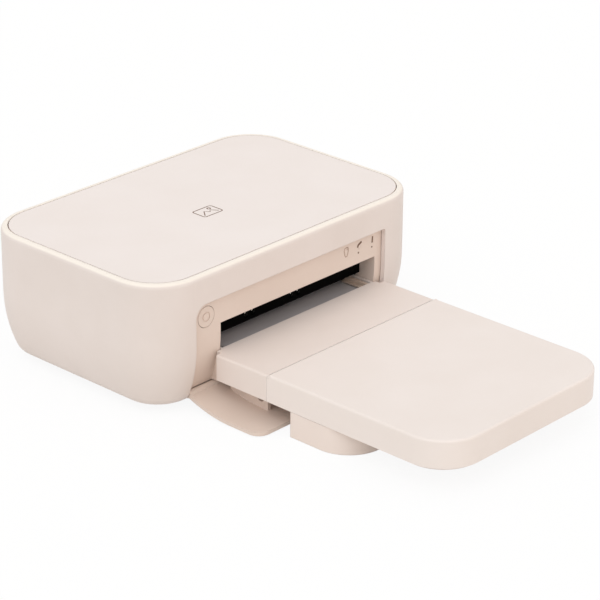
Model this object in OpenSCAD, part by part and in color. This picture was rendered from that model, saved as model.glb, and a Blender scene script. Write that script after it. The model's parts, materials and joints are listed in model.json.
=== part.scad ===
// Compact photo printer: a rounded housing with a drop-down front door,
// a hinged ribbon door in its right side and a paper tray pushed in from the front.
// The origin is on the table under the middle of the housing; +X is to the right,
// -Y is the front and +Z is up.  All sizes are in millimetres.

/* [Housing] */
// Width of the housing
body_w = 194; // [185:1:236]
// Depth of the housing, front to back
body_d = 126; // [122:1:152]
// Height of the housing without its feet
body_h = 67.6; // [66:0.2:82]
// Radius of the upright corners in plan
corner_r = 26; // [22:1:31]
// Height over which the lower wall curves in
belly_h = 32.5; // [28:0.5:34]
// How far the lower wall curves in
belly_in = 12; // [10:0.5:13]
// Radius between the curved lower wall and the bottom
belly_edge_r = 7; // [5:0.5:8]
// Radius of the rim's outer edge
rim_r = 2.4; // [1.6:0.2:2.8]
// Wall thickness of the housing
wall = 2.6; // [2.2:0.1:3]
// Width of the rim around the top panel
rim_w = 3.5; // [3.2:0.1:5]
// Thickness of the top panel
panel_t = 2.2; // [1.8:0.1:2.6]
// Height of the rubber feet under the housing
foot_h = 4; // [3:0.2:5]

/* [Front] */
// Width of the recess that the front door closes
recess_w = 137; // [134:1:140]
// Middle of the recess from the middle of the housing
recess_x = -1.5; // [-3:0.5:1]
// Height of the top of the recess over the table
recess_top = 56.2; // [54:0.2:60]
// Thickness of the front door
door_t = 1.8; // [1.5:0.1:2.5]
// Radius of the upper left corner of the recess
recess_r = 7; // [3:0.5:10]
// Radius of the upper right corner of the recess
recess_r2 = 1.4; // [1:0.2:10]
// Width of the paper slot
slot_w = 112.8; // [112.6:0.2:116]
// Middle of the paper slot from the middle of the housing
slot_x = 5.8; // [4:0.2:6.4]
// Height of the top of the slot over the table
slot_top = 41.3; // [40:0.2:44]
// Radius of the power button
button_r = 5.4; // [4:0.2:6]
// Height of the power button over the table
button_z = 47.6; // [46:0.2:49]
// Travel of the power button
button_travel = 0.8; // [0.5:0.1:1]

/* [Paper tray] */
// Width of the tray outside the housing
tray_w = 123.6; // [122:0.2:124]
// Middle of the tray from the middle of the housing
tray_x = 4.8; // [4:0.2:5]
// Length of the tray in front of the housing
tray_out = 147; // [140:1:176]
// Depth of the narrow end that goes into the housing
tray_in = 30; // [28:1:31]
// Height of the lid's top over the table
tray_top = 27.9; // [27.6:0.1:28.2]
// Height of the tray's bottom over the table
tray_z = 12; // [11.8:0.1:12.2]
// Plan radius of the tray's two outer corners
tray_corner_r = 22; // [15:1:30]
// Length of the fixed head in front of the housing
head_len = 34; // [30:1:40]
// Thickness of the tray's walls
tray_wall = 1.8; // [1.4:0.1:2]
// Width of a sheet of paper
paper_w = 100; // [89:1:102]
// Length of a sheet of paper with its tear-off ends
paper_l = 166; // [150:1:166]
// Height of the paper stack
stack_h = 5; // [1:0.5:5.5]

/* [Print mechanism] */
// Radius of the platen roller
platen_r = 6.3; // [5:0.1:6.5]
// Radius of the capstan roller
capstan_r = 3.5; // [3:0.1:3.8]
// Radius of the pick-up rollers
pickup_r = 8; // [7:0.1:8.2]
// Radius of the ribbon cartridge's two barrels
barrel_r = 10.4; // [9.4:0.1:10.6]
// Gear module
gear_m = 0.8; // [0.7:0.05:0.8]

/* [Hidden] */
$fn = 72;
// levels and planes
z_bottom = foot_h;
z_top = foot_h + body_h;
front_y = -body_d / 2;
rear_y = body_d / 2;
side_x = body_w / 2;
hx = body_w / 2 - corner_r;
hy = body_d / 2 - corner_r;
belly_top = z_bottom + belly_h;
sweep_dz = belly_h - belly_edge_r;
sweep_r = (sweep_dz * sweep_dz + belly_in * belly_in - belly_edge_r * belly_edge_r)
    / (2 * (belly_in - belly_edge_r));
// running and seating clearances
seat = 0.3;
bearing = 0.05;
// top panel
flange_h = 4.6;
panel_gap = 0.5;
ledge = 2.4;
// front: fascia behind the housing's wall, door in front of it
recess_d = wall + seat;
fascia_t = 2;
fascia_y = front_y + recess_d;
recess_x0 = recess_x - recess_w / 2;
recess_x1 = recess_x + recess_w / 2;
recess_z0 = z_bottom + 1.4;
slot_x0 = slot_x - slot_w / 2;
slot_x1 = slot_x + slot_w / 2;
slot_z0 = tray_z - 0.5;
collar_t = 2;
collar_d = 5;
door_gap = 0.4;
hinge_y = front_y + 7;
hinge_z = z_bottom + 3.6;
knuckle_r = 1.9;
hinge_pin_r = 0.9;
door_open = 90;
button_x = recess_x0 + 9.5;
// tray
tray_x0 = tray_x - tray_w / 2;
tray_x1 = tray_x + tray_w / 2;
tray_y1 = front_y - tray_out;
head_y = front_y - head_len;
tray_in_y = fascia_y + tray_in;
neck_gap = 0.5;
neck_x0 = slot_x0 + neck_gap;
neck_x1 = slot_x1 - neck_gap;
neck_wall = 1.4;
skirt_z = tray_z + 1.5;
tub_in = tray_wall + 0.4;
floor_t = 2;
tub_top = tray_top - tray_wall - seat;
lid_nose = tray_wall;
lid_axis_z = tray_top - lid_nose;
crease = 0.15;
lid_axis_y = head_y - lid_nose - crease;
lid_pin_r = 0.6;
lid_edge_r = 1.2;
cavity_top = tub_top;
guide_w = 3;
paper_x1 = neck_x1 - neck_wall - guide_w - 0.5;
paper_x0 = paper_x1 - paper_w;
paper_top = lid_axis_z - lid_nose - seat;
foot_y0 = front_y - 49.7;
foot_y1 = front_y - 89;
foot_r = 20;
foot_cells = 6;
// mechanism: heights of the paper path and the places of the shafts
path_z = 29;
plate_x0 = slot_x0 - 10.2;
plate_x1 = slot_x1 + 2.6;
plate_t = 1.2;
chassis_z = 2 * wall + z_bottom - 0.6;
chassis_t = 2;
plate_z0 = chassis_z + chassis_t;
mid_x = (paper_x0 + paper_x1) / 2;
platen_y = 2;
platen_z = path_z - platen_r - 0.1;
capstan_y = 17;
capstan_z = path_z - capstan_r - 0.1;
pinch_r = 3.1;
pinch_z = path_z + pinch_r + 0.1;
pickup_y = front_y + 24;
pickup_z = paper_top + pickup_r + 0.2;
takeup_y = 24;
supply_y = -18;
// gear train, every axis along X, places as [y, z]
z_capstan = 30;
z_takeup = 24;
z_big = 40;
z_small = 15;
z_pinion = 12;
z_pickup = 28;
function pitch(z) = gear_m * z / 2;
spool_dy = takeup_y - capstan_y;
spool_reach = pitch(z_capstan) + pitch(z_takeup);
spool_z = capstan_z + sqrt(spool_reach * spool_reach - spool_dy * spool_dy);
a_takeup = atan2(spool_z - capstan_z, spool_dy);
a_comp = 12;
comp_reach = pitch(z_capstan) + pitch(z_small);
comp_y = capstan_y + comp_reach * cos(a_comp);
comp_z = capstan_z + comp_reach * sin(a_comp);
a_pin = 195;
pin_reach = pitch(z_big) + pitch(z_pinion);
pin_y = comp_y + pin_reach * cos(a_pin);
pin_z = comp_z + pin_reach * sin(a_pin);
a_pick = 18;
pick_reach = pitch(z_pickup) + pitch(z_pinion);
pick_y = pickup_y + pick_reach * cos(a_pick);
pick_z = pickup_z + pick_reach * sin(a_pick);
function mesh_phase(a, z1, z2, ph1) = a + 180 - (360 / z2) * ((ph1 - a) * z1 / 360 + 0.5);
ph_takeup = mesh_phase(a_takeup, z_capstan, z_takeup, 0);
ph_small = mesh_phase(a_comp, z_capstan, z_small, 0);
ph_pinion = mesh_phase(a_pin, z_big, z_pinion, 0);
ph_pick = mesh_phase(a_pick, z_pickup, z_pinion, 0);
layer_w = 3.6;
layer1_x = plate_x0 - 0.6 - layer_w;
layer2_x = layer1_x - 1 - layer_w;
gear_plate_x = layer2_x - 1.4 - plate_t;
// head lever
lever_y = rear_y - 17;
lever_z = spool_z + barrel_r + 2.6;
lever_t = 2;
// side door
sdoor_y = 31;
sdoor_z0 = belly_top - 3;
sdoor_z1 = z_top - 8.4;
sdoor_axis_x = side_x - 1.4;
sdoor_axis_z = sdoor_z0 + 1.4;
cart_x0 = plate_x0 + 2.4;
cart_x1 = plate_x1 + 8;

// ---------- shared shapes ----------
// 2D rectangle from corner to corner
module rect(x0, y0, x1, y1) {
    translate([x0, y0]) square([x1 - x0, y1 - y0]);
}

// Rectangle with four round corners, centred
module plate2d(w, d, r) {
    square([w - 2 * r, d], center = true);
    square([w, d - 2 * r], center = true);
    for (sx = [-1, 1])
        for (sy = [-1, 1])
            translate([sx * (w / 2 - r), sy * (d / 2 - r)]) circle(r);
}

// Sweeps a (Y, Z) outline along X
module along_x(x0, x1) {
    translate([x0, 0, 0]) rotate([90, 0, 90]) linear_extrude(x1 - x0) children();
}

// Round bar along X with its axis at (y, z)
module rod_x(x0, x1, y, z, r) {
    translate([x0, y, z]) rotate([0, 90, 0]) cylinder(r = r, h = x1 - x0);
}

module block(x0, y0, z0, x1, y1, z1) {
    translate([x0, y0, z0]) cube([x1 - x0, y1 - y0, z1 - z0]);
}

// Height profile of the housing: everything inside the wall line, from the middle out.
// reach is where the upright wall stands; off moves every surface inwards.
module wall_profile(reach, off, top) {
    r = reach - off;
    turn = asin(sweep_dz / (sweep_r - belly_edge_r));
    z_turn = belly_top - sweep_r * sin(turn);
    cx = reach - belly_in;
    rect(0, belly_top, r, top);
    intersection() {
        translate([reach - sweep_r, belly_top]) circle(sweep_r - off, $fn = 180);
        rect(0, z_turn, r, belly_top);
    }
    intersection() {
        translate([cx, z_bottom + belly_edge_r]) circle(belly_edge_r - off);
        rect(0, z_bottom + off, r, z_turn);
    }
    rect(0, z_bottom + off, cx, z_turn);
}

// The same with the rounded rim on top
module rim_profile(reach) {
    wall_profile(reach, 0, z_top - rim_r);
    rect(0, z_top - rim_r, reach - rim_r, z_top);
    intersection() {
        translate([reach - rim_r, z_top - rim_r]) circle(rim_r);
        rect(0, z_top - rim_r, reach, z_top);
    }
}

// Carries a height profile, drawn for a reach of corner_r, around the housing
module around_body() {
    for (sx = [0, 1])
        mirror([sx, 0, 0])
            for (sy = [0, 1])
                mirror([0, sy, 0])
                    translate([hx, hy, 0]) rotate_extrude(angle = 90) children();
    for (sy = [0, 1])
        mirror([0, sy, 0]) translate([0, hy, 0]) along_x(-hx, hx) children();
    for (sx = [0, 1])
        mirror([sx, 0, 0]) translate([hx, hy, 0]) rotate([90, 0, 0]) linear_extrude(2 * hy) children();
}

module body_solid() {
    around_body() rim_profile(corner_r);
    block(-hx, -hy, z_bottom, hx, hy, z_top);
}

module body_hollow() {
    around_body() wall_profile(corner_r, wall, z_top - flange_h);
    block(-hx, -hy, z_bottom + wall, hx, hy, z_top - flange_h);
}

// Slice of the front wall between two depths, swept along X
module front_skin(x0, x1, off0, off1, z0, z1) {
    mirror([0, 1, 0]) along_x(x0, x1) intersection() {
        difference() {
            wall_profile(body_d / 2, off0, z_top);
            wall_profile(body_d / 2, off1, z_top + 1);
        }
        rect(0, z0, body_d / 2, z1);
    }
}

// Outline of the door and its recess in the (X, Z) plane, upper corners round
module recess_outline(x0, x1, z0, z1, left_r, right_r) {
    rect(x0, z0, x1 - right_r, z1 - left_r);
    rect(x0 + left_r, z0, x1 - right_r, z1);
    rect(x0 + left_r, z0, x1, z1 - right_r);
    translate([x0 + left_r, z1 - left_r]) circle(left_r);
    translate([x1 - right_r, z1 - right_r]) circle(right_r);
}

module through_front(y0, y1) {
    translate([0, y1, 0]) rotate([90, 0, 0]) linear_extrude(y1 - y0) children();
}

// ---------- gears ----------
pressure = 20;
backlash = 0.16;
function inv_deg(r, rb) = r <= rb ? 0 : let (a = acos(rb / r)) tan(a) * 180 / PI - a;
function half_tooth(r, rp, z) = let (rb = rp * cos(pressure))
    90 / z - backlash / 2 / rp * 180 / PI + inv_deg(rp, rb) - inv_deg(r, rb);
function polar(r, a) = [r * cos(a), r * sin(a)];
function gear_points(z) = let (
    rp = pitch(z),
    levels = [rp - 1.2 * gear_m, rp - 0.4 * gear_m, rp + 0.35 * gear_m, rp + 0.95 * gear_m])
    [for (i = [0:z - 1], s = [-1, 1], k = [0:3])
        let (r = levels[s < 0 ? k : 3 - k]) polar(r, i * 360 / z + s * half_tooth(r, rp, z))];

module gear2d(z, phase, bore) {
    difference() {
        rotate(phase) polygon(gear_points(z));
        if (bore > 0) circle(bore);
    }
}

// Spur gear on an axis along X
module gear_x(x, w, y, z, teeth, phase, bore) {
    translate([x, y, z]) rotate([90, 0, 90]) linear_extrude(w) gear2d(teeth, phase, bore);
}

// Thins the web of a gear from one side
module web_pocket(x, w, y, z, r0, r1) {
    difference() {
        rod_x(x, x + w, y, z, r1);
        rod_x(x - 1, x + w + 1, y, z, r0);
    }
}

// ---------- casing ----------
module outer_housing() {
    color([0.90, 0.84, 0.81]) difference() {
        body_solid();
        body_hollow();
        translate([0, 0, z_top - panel_t]) linear_extrude(panel_t + 1)
            plate2d(body_w - 2 * rim_w, body_d - 2 * rim_w, corner_r - rim_w);
        translate([0, 0, z_top - flange_h - 1]) linear_extrude(flange_h + 2)
            plate2d(body_w - 2 * (rim_w + ledge), body_d - 2 * (rim_w + ledge),
                corner_r - rim_w - ledge);
        translate([0, 0, z_bottom - 1]) linear_extrude(wall + 2)
            plate2d(base_w, base_d, base_r);
        through_front(front_y - 1, front_y + 13)
            recess_outline(recess_x0, recess_x1, recess_z0, recess_top, recess_r, recess_r2);
        block(side_x - 8, -sdoor_y, sdoor_z0, side_x + 1, sdoor_y, sdoor_z1);
        block(rear_slot_x0, rear_y - 8, rear_slot_z0, rear_slot_x1, rear_y + 1, rear_slot_z1);
        rear_vents();
        translate([inlet_x, rear_y + 1, inlet_z]) rotate([90, 0, 0]) cylinder(r = inlet_r, h = 12);
        rod_x(door_x0 - 3, recess_x0 + 1, hinge_y, hinge_z, hinge_pin_r - bearing);
        rod_x(recess_x1 - 1, door_x1 + 3, hinge_y, hinge_z, hinge_pin_r - bearing);
        rod_y(sdoor_axis_x, sdoor_axis_z, side_pin_r, -sdoor_y - side_pin_out, sdoor_y + side_pin_out);
    }
}
base_w = 2 * (side_x - 19);
base_d = 2 * (rear_y - 19);
base_r = 8;
rear_slot_x0 = paper_x0 - 2.5;
rear_slot_x1 = paper_x1 + 2.5;
rear_slot_z0 = path_z - 1.4;
rear_slot_z1 = path_z + 4.4;
inlet_x = plate_x1 - 3;
inlet_z = 22;
inlet_r = 4;
vent_n = 9;
vent_pitch = 5;

module rear_vents() {
    for (i = [0:vent_n - 1])
        block(-side_x + 40 + i * vent_pitch, rear_y - 6, z_top - 24,
            -side_x + 42 + i * vent_pitch, rear_y + 1, z_top - 12);
}

module top_panel() {
    w = body_w - 2 * (rim_w + panel_gap);
    d = body_d - 2 * (rim_w + panel_gap);
    color([0.95, 0.91, 0.89]) translate([0, 0, z_top - panel_t])
        linear_extrude(panel_t) plate2d(w, d, corner_r - rim_w - panel_gap);
}

module base_plate() {
    color([0.86, 0.80, 0.77]) difference() {
        union() {
            translate([0, 0, z_bottom]) linear_extrude(wall)
                plate2d(base_w - 2 * seat, base_d - 2 * seat, base_r - seat);
            translate([0, 0, z_bottom + wall]) linear_extrude(chassis_z - z_bottom - wall)
                plate2d(base_w + 6, base_d + 6, base_r + 3);
        }
        for (p = foot_places)
            translate([p[0], p[1], z_bottom - 1]) cylinder(r = foot_pad_r + 0.1, h = 1 + foot_sink);
    }
}
foot_pad_r = 6;
foot_sink = 0.8;
foot_places = [for (sx = [-1, 1], sy = [-1, 1])
    [sx * (side_x - 31), sy * (rear_y - 30)]];

module rubber_feet() {
    color([0.25, 0.24, 0.24])
        for (p = foot_places)
            translate([p[0], p[1], 0]) {
                translate([0, 0, 0.8]) cylinder(r = foot_pad_r, h = z_bottom + foot_sink - 0.8);
                cylinder(r1 = foot_pad_r - 0.8, r2 = foot_pad_r, h = 0.8, $fn = 48);
            }
}

module front_fascia() {
    lap = 4;
    color([0.88, 0.81, 0.77]) difference() {
        union() {
            front_skin(recess_x0 - lap, recess_x1 + lap, recess_d, recess_d + fascia_t,
                z_bottom + recess_d + fascia_t + 0.2, recess_top + lap);
            block(slot_x0 - collar_t, fascia_y + 1, slot_z0 - 1.4,
                slot_x1 + collar_t, fascia_y + collar_d, slot_top + collar_t);
            side_collar();
            for (x = [button_x + 15, mid_x - 4, light_xs[0] - 8])
                rod_y(x, light_z + 2, 1.6, fascia_y + 1, board_y);
        }
        rod_x(recess_x0 - lap - 1, recess_x1 + lap + 1, hinge_y, hinge_z, knuckle_r + 0.35);
        block(slot_x0, fascia_y - 2, slot_z0, slot_x1, fascia_y + 20, slot_top);
        rod_y(button_x, button_z, button_r + 0.25, fascia_y - 1, fascia_y + 4);
        for (x = light_xs)
            rod_y(x, light_z, light_r + 0.1, fascia_y - 1, fascia_y + 4);
    }
}
light_r = 1.1;
board_y = fascia_y + 8;
light_z = slot_top + 9.2;
light_xs = [for (i = [0:2]) slot_x1 - 22 + 10 * i];

module rod_y(x, z, r, y0, y1) {
    translate([x, y1, z]) rotate([90, 0, 0]) cylinder(r = r, h = y1 - y0);
}

// The right wall of the slot, deeper than the rest and with a curved back edge
module side_collar() {
    along_x(slot_x1, slot_x1 + collar_t) difference() {
        rect(fascia_y + 1, slot_z0 - 1.4, fascia_y + 13, slot_top + collar_t);
        translate([fascia_y + 13 + 24, slot_z0 - 6]) circle(28);
    }
}

module power_button() {
    color([0.90, 0.84, 0.80]) {
        difference() {
            rod_y(button_x, button_z, button_r, fascia_y, fascia_y + 2.6);
            difference() {
                rod_y(button_x, button_z, 2.6, fascia_y - 1, fascia_y + 0.4);
                rod_y(button_x, button_z, 1.9, fascia_y - 2, fascia_y + 1);
            }
        }
        rod_y(button_x, button_z, button_r + 0.8, fascia_y + fascia_t + 0.3, fascia_y + fascia_t + 1.3);
        rod_y(button_x, button_z, 1.6, fascia_y + 2, button_end);
    }
}

button_end = fascia_y + 6;

module status_lights() {
    color([0.97, 0.95, 0.92])
        for (x = light_xs)
            rod_y(x, light_z, light_r, fascia_y, fascia_y + 5);
}

// ---------- front door ----------
door_x0 = recess_x0 + door_gap;
door_x1 = recess_x1 - door_gap;
door_top = recess_top - door_gap;
rib_h = 5.6;
rib_t = 2;
rib_xs = [slot_x0 + 3, slot_x1 - 5];

module door_closed() {
    difference() {
        union() {
            intersection() {
                front_skin(door_x0, door_x1, 0, door_t, hinge_z, door_top);
                through_front(front_y - 1, front_y + 14)
                    recess_outline(door_x0, door_x1, 0, door_top, recess_r - door_gap,
                        recess_r2 - door_gap);
            }
            rod_x(door_x0, door_x1, hinge_y, hinge_z, knuckle_r);
            for (x = rib_xs) along_x(x, x + rib_t) door_rib();
        }
        for (x = [door_x0 - 1, door_x1 - pin_len + 1])
            rod_x(x, x + pin_len, hinge_y, hinge_z, hinge_pin_r);
    }
}
pin_len = 8;

// Rib on the inside of the door with a rounded notch near its outer end
module door_rib() {
    y = front_y + door_t - 0.2;
    difference() {
        polygon([[y, hinge_z + 7.6], [y, slot_top - 0.6], [y + rib_h - 1, slot_top - 0.6],
            [y + rib_h, slot_top - 2], [y + rib_h, hinge_z + 7.6]]);
        translate([y + rib_h, slot_top - 5.5]) circle(2);
    }
}

module front_door() {
    color([0.85, 0.77, 0.72]) translate([0, hinge_y, hinge_z]) rotate([door_open, 0, 0])
        translate([0, -hinge_y, -hinge_z]) door_closed();
}

module front_door_pins() {
    color([0.75, 0.75, 0.77]) {
        rod_x(door_x0 - 3, door_x0 + pin_len - 1.2, hinge_y, hinge_z, hinge_pin_r - bearing);
        rod_x(door_x1 - pin_len + 1.2, door_x1 + 3, hinge_y, hinge_z, hinge_pin_r - bearing);
    }
}

// ---------- side door ----------
side_pin_r = 0.65;
side_pin_out = 2.6;

module side_door() {
    y = sdoor_y - 0.4;
    color([0.90, 0.84, 0.81]) difference() {
        union() {
            block(side_x - 2.4, -y, sdoor_axis_z, side_x, y, sdoor_z1 - 0.4);
            translate([sdoor_axis_x, -y, sdoor_axis_z]) rotate([-90, 0, 0]) cylinder(r = 1.4, h = 2 * y);
            block(side_x - 5, -8, sdoor_z1 - 5, side_x - 2, 8, sdoor_z1 - 3.4);
        }
        for (s = [-1, 1])
            translate([sdoor_axis_x, s * y, sdoor_axis_z]) rotate([s * 90, 0, 0])
                translate([0, 0, -1]) cylinder(r = side_pin_r + bearing, h = 7);
    }
}

module side_door_pins() {
    y = sdoor_y - 0.4;
    color([0.75, 0.75, 0.77])
        for (s = [-1, 1])
            translate([sdoor_axis_x, s * (sdoor_y + side_pin_out), sdoor_axis_z]) rotate([s * 90, 0, 0])
                cylinder(r = side_pin_r, h = side_pin_out + 6);
}

module power_inlet() {
    color([0.12, 0.12, 0.12]) difference() {
        union() {
            block(inlet_x - 4.6, rear_y - 12.4, inlet_z - 5, inlet_x + 4.6, rear_y - 6.6, inlet_z + 5);
            rod_y(inlet_x, inlet_z, inlet_r - 0.1, rear_y - 8, rear_y - 2.4);
        }
        rod_y(inlet_x, inlet_z, 2.9, rear_y - 11, rear_y);
    }
    color([0.8, 0.8, 0.82]) rod_y(inlet_x, inlet_z, 0.9, rear_y - 12, rear_y - 4);
}

// ---------- paper tray ----------
// Plan of the tray from the head's rear edge out, with two round outer corners
module tray_plan(inset, y_in) {
    r = tray_corner_r - inset;
    x0 = tray_x0 + inset;
    x1 = tray_x1 - inset;
    y1 = tray_y1 + inset;
    rect(x0, y1 + r, x1, y_in);
    rect(x0 + r, y1, x1 - r, y1 + r + 1);
    for (x = [x0 + r, x1 - r])
        translate([x, y1 + r]) circle(r);
}

module tray_tub() {
    tilt = 0.5;
    color([0.93, 0.88, 0.86]) difference() {
        union() {
            intersection() {
                along_x(tray_x0, tray_x1) polygon([[head_y, skirt_z], [fascia_y - seat, skirt_z],
                    [fascia_y - seat, tray_top - head_step - tilt], [lid_axis_y, tray_top - head_step],
                    [lid_axis_y, lid_axis_z], [head_y, lid_axis_z]]);
                translate([tray_x, fascia_y, 0]) rotate([90, 0, 0]) linear_extrude(head_len + 10)
                    head_front();
            }
            translate([0, 0, tray_z]) linear_extrude(tub_top - tray_z)
                tray_plan(tub_in, fascia_y - seat);
            block(neck_x0, fascia_y - 1, tray_z, neck_x1, tray_in_y, tray_top - head_step - tilt);
        }
        // paper well, open at the top beyond the head and towards the feed end
        block(neck_x0 + neck_wall, head_y - 1, tray_z + floor_t,
            neck_x1 - neck_wall, tray_in_y - neck_wall, cavity_top);
        translate([0, 0, tray_z + floor_t]) linear_extrude(tray_top - tray_z)
            tray_plan(tub_in + tray_wall, head_y - 0.8);
        block(neck_x0 + neck_wall, fascia_y + 0.6, cavity_top - 1,
            neck_x1 - neck_wall, tray_in_y + 1, tray_top + 1);
        block(neck_x0 + neck_wall, tray_in_y - 2, tray_z + 7.4,
            neck_x1 - neck_wall, tray_in_y + 1, tray_top + 1);
        rod_x(tray_x0, tray_x1, lid_axis_y, lid_axis_z, lid_pin_r + bearing);
        // room for the lid's rounded rear edge to turn in
        intersection() {
            rod_x(tray_x0 - 1, tray_x1 + 1, lid_axis_y, lid_axis_z, lid_nose + crease);
            block(tray_x0 - 1, lid_axis_y - 0.25, 0, tray_x1 + 1, head_y + 1, tray_top);
        }
        for (x = [tray_x0 - 1, tray_x1 - head_notch])
            block(x, front_y - 0.4, 0, x + head_notch + 1, fascia_y, tray_top);
    }
    color([0.93, 0.88, 0.86])
        for (x = [tray_x0 + tub_in, tray_x1 - tub_in - tray_wall])
            difference() {
                union() {
                    rod_x(x, x + tray_wall, lid_axis_y, lid_axis_z, lid_horn_r);
                    block(x, lid_axis_y - 2.2, lid_axis_z - 3, x + tray_wall, lid_axis_y - 0.25, tub_top);
                }
                rod_x(x - 1, x + tray_wall + 1, lid_axis_y, lid_axis_z, lid_pin_r + bearing);
            }
    color([0.93, 0.88, 0.86])
        for (x = [mid_x - 30, mid_x, mid_x + 30])
            block(x - 0.8, tray_y1 + tub_in + tray_wall - 0.2, tray_z + floor_t - 0.2,
                x + 0.8, head_y - 2, paper_top - stack_h);
}

lid_horn_r = 1.1;
head_step = 0.4;
head_notch = 3.5;

// Front view of the tray's head, its two upper edges round
module head_front() {
    h = tray_w / 2;
    rect(-h, 0, h, tray_top - head_step - 1.4);
    rect(-h + 1.2, 0, h - 1.2, tray_top);
    for (s = [-1, 1])
        translate([s * (h - 1.2), tray_top - head_step - 1.4]) circle(1.2);
}

module tray_lid() {
    inner = tray_wall;
    color([0.96, 0.93, 0.91]) difference() {
        union() {
            translate([0, 0, skirt_z]) linear_extrude(lid_axis_z - skirt_z)
                tray_plan(0, lid_axis_y + lid_nose);
            translate([0, 0, lid_axis_z]) linear_extrude(tray_top - lid_edge_r - lid_axis_z)
                tray_plan(0, lid_axis_y);
            translate([0, 0, tray_top - lid_edge_r]) lid_top_round();
            rod_x(tray_x0 + 0.35, tray_x1 - 0.35, lid_axis_y, lid_axis_z, lid_nose);
        }
        translate([0, 0, skirt_z - 1]) linear_extrude(lid_axis_z - skirt_z + 1)
            tray_plan(inner, head_y + 10);
        for (x = [tray_x0 + inner, tray_x1 - inner - 2.4])
            rod_x(x, x + 2.4, lid_axis_y, lid_axis_z, lid_horn_r + 0.2);
    }
    color([0.96, 0.93, 0.91]) {
        rod_x(tray_x0 + 1, tray_x0 + inner + 2.4, lid_axis_y, lid_axis_z, lid_pin_r);
        rod_x(tray_x1 - inner - 2.4, tray_x1 - 1, lid_axis_y, lid_axis_z, lid_pin_r);
    }
}

// Quarter-round along the lid's two sides and outer end
module lid_top_round() {
    e = lid_edge_r;
    r = tray_corner_r;
    for (m = [0, 1])
        translate([tray_x, 0, 0]) mirror([m, 0, 0]) {
            translate([tray_w / 2 - r, tray_y1 + r, 0]) rotate([0, 0, -90]) rotate_extrude(angle = 90) {
                rect(0, 0, r - e, e);
                intersection() {
                    translate([r - e, 0]) circle(e);
                    rect(r - e, 0, r, e);
                }
            }
            translate([tray_w / 2, 0, 0]) rotate([90, 0, 0])
                translate([0, 0, -lid_axis_y]) linear_extrude(lid_axis_y - tray_y1 - r) {
                    rect(-r, 0, -e, e);
                    intersection() {
                        translate([-e, 0]) circle(e);
                        rect(-e, 0, 0, e);
                    }
                }
        }
    along_x(tray_x0 + r, tray_x1 - r) {
        rect(tray_y1 + e, 0, lid_axis_y, e);
        intersection() {
            translate([tray_y1 + e, 0]) circle(e);
            rect(tray_y1, 0, tray_y1 + e, e);
        }
    }
}

// Plan of the foot, its two front corners round
module foot_plan(inset) {
    r = foot_r - inset;
    x0 = tray_x0 + inset;
    x1 = tray_x1 - inset;
    y1 = foot_y1 + inset;
    rect(x0, y1 + r, x1, foot_y0 - inset);
    rect(x0 + r, y1, x1 - r, y1 + r + 1);
    for (x = [x0 + r, x1 - r])
        translate([x, y1 + r]) circle(r);
}

module tray_foot() {
    color([0.91, 0.86, 0.83]) {
        difference() {
            linear_extrude(tray_z) foot_plan(0);
            translate([0, 0, -1]) linear_extrude(tray_z - 1) foot_plan(2);
        }
        difference() {
            linear_extrude(skirt_z - seat / 2) foot_plan(0);
            translate([0, 0, -1]) linear_extrude(tray_z + 10)
                rect(tray_x0 + tub_in - 0.2, foot_y1 - 1, tray_x1 - tub_in + 0.2, foot_y0 + 1);
        }
        for (i = [1:foot_cells - 1])
            block(tray_x0 + i * tray_w / foot_cells - 0.9, foot_y1 + 1.5, 0,
                tray_x0 + i * tray_w / foot_cells + 0.9, foot_y0 - 1.5, tray_z - 1);
        block(tray_x0 + 1.5, (foot_y0 + foot_y1) / 2 - 0.9, 0,
            tray_x1 - 1.5, (foot_y0 + foot_y1) / 2 + 0.9, tray_z - 1);
    }
}

module paper_stack() {
    color([0.72, 0.72, 0.73])
        block(paper_x0, tray_in_y - 2 - paper_l, paper_top - stack_h, paper_x1, tray_in_y - 2, paper_top);
}

module tray_side_guide() {
    x = paper_x1 + 0.3;
    y1 = fascia_y + 16;
    color([0.84, 0.76, 0.71]) difference() {
        union() {
            block(x, fascia_y - 20, tray_z + floor_t, x + guide_w, y1, cavity_top);
            block(x, fascia_y + 1, cavity_top - 1, x + guide_w, y1, tray_top - head_step - 0.6);
            block(x - 2, fascia_y - 19, paper_top + seat, x + 1, y1, paper_top + seat + 0.8);
        }
        block(x + 1.4, fascia_y - 19, tray_z + floor_t + 1.2, x + guide_w + 1, y1 - 1.4, tray_top);
    }
}

lift_t = 1;
lift_z = paper_top - stack_h - lift_t;
lift_y = fascia_y - 34;

module lift_plate() {
    color([0.7, 0.71, 0.73]) {
        block(paper_x0 + 2, lift_y, lift_z, paper_x1 - 2, tray_in_y - 4, lift_z + lift_t);
        rod_x(paper_x0 + 6, paper_x1 - 6, lift_y, lift_z, 1);
    }
}

module lift_springs() {
    color([0.65, 0.66, 0.68])
        for (x = [mid_x - 24, mid_x + 24])
            translate([x, tray_in_y - 14, tray_z + floor_t]) difference() {
                cylinder(r = 3.6, h = lift_z - tray_z - floor_t);
                translate([0, 0, -1]) cylinder(r = 2.8, h = 20);
            }
}

// ---------- chassis ----------
plate_y0 = fascia_y + 11;
guide_y = fascia_y + 10;
plate_y1 = rear_y - 13;
plate_z1 = lever_z + 3.4;

module chassis_base() {
    color([0.15, 0.15, 0.16]) difference() {
        union() {
            block(plate_x0 - 2, plate_y0, chassis_z, plate_x1 + 2, plate_y1, plate_z0);
            for (x = [plate_x0 + 14, mid_x, plate_x1 - 10])
                block(x - 3, plate_y0, plate_z0 - 0.5, x + 3, plate_y0 + 24, tray_z - seat);
        }
        for (y = [-18, 24])
            block(plate_x0 + 14, y - 12, chassis_z - 1, plate_x1 - 14, y + 8, plate_z0 + 1);
    }
}

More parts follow.
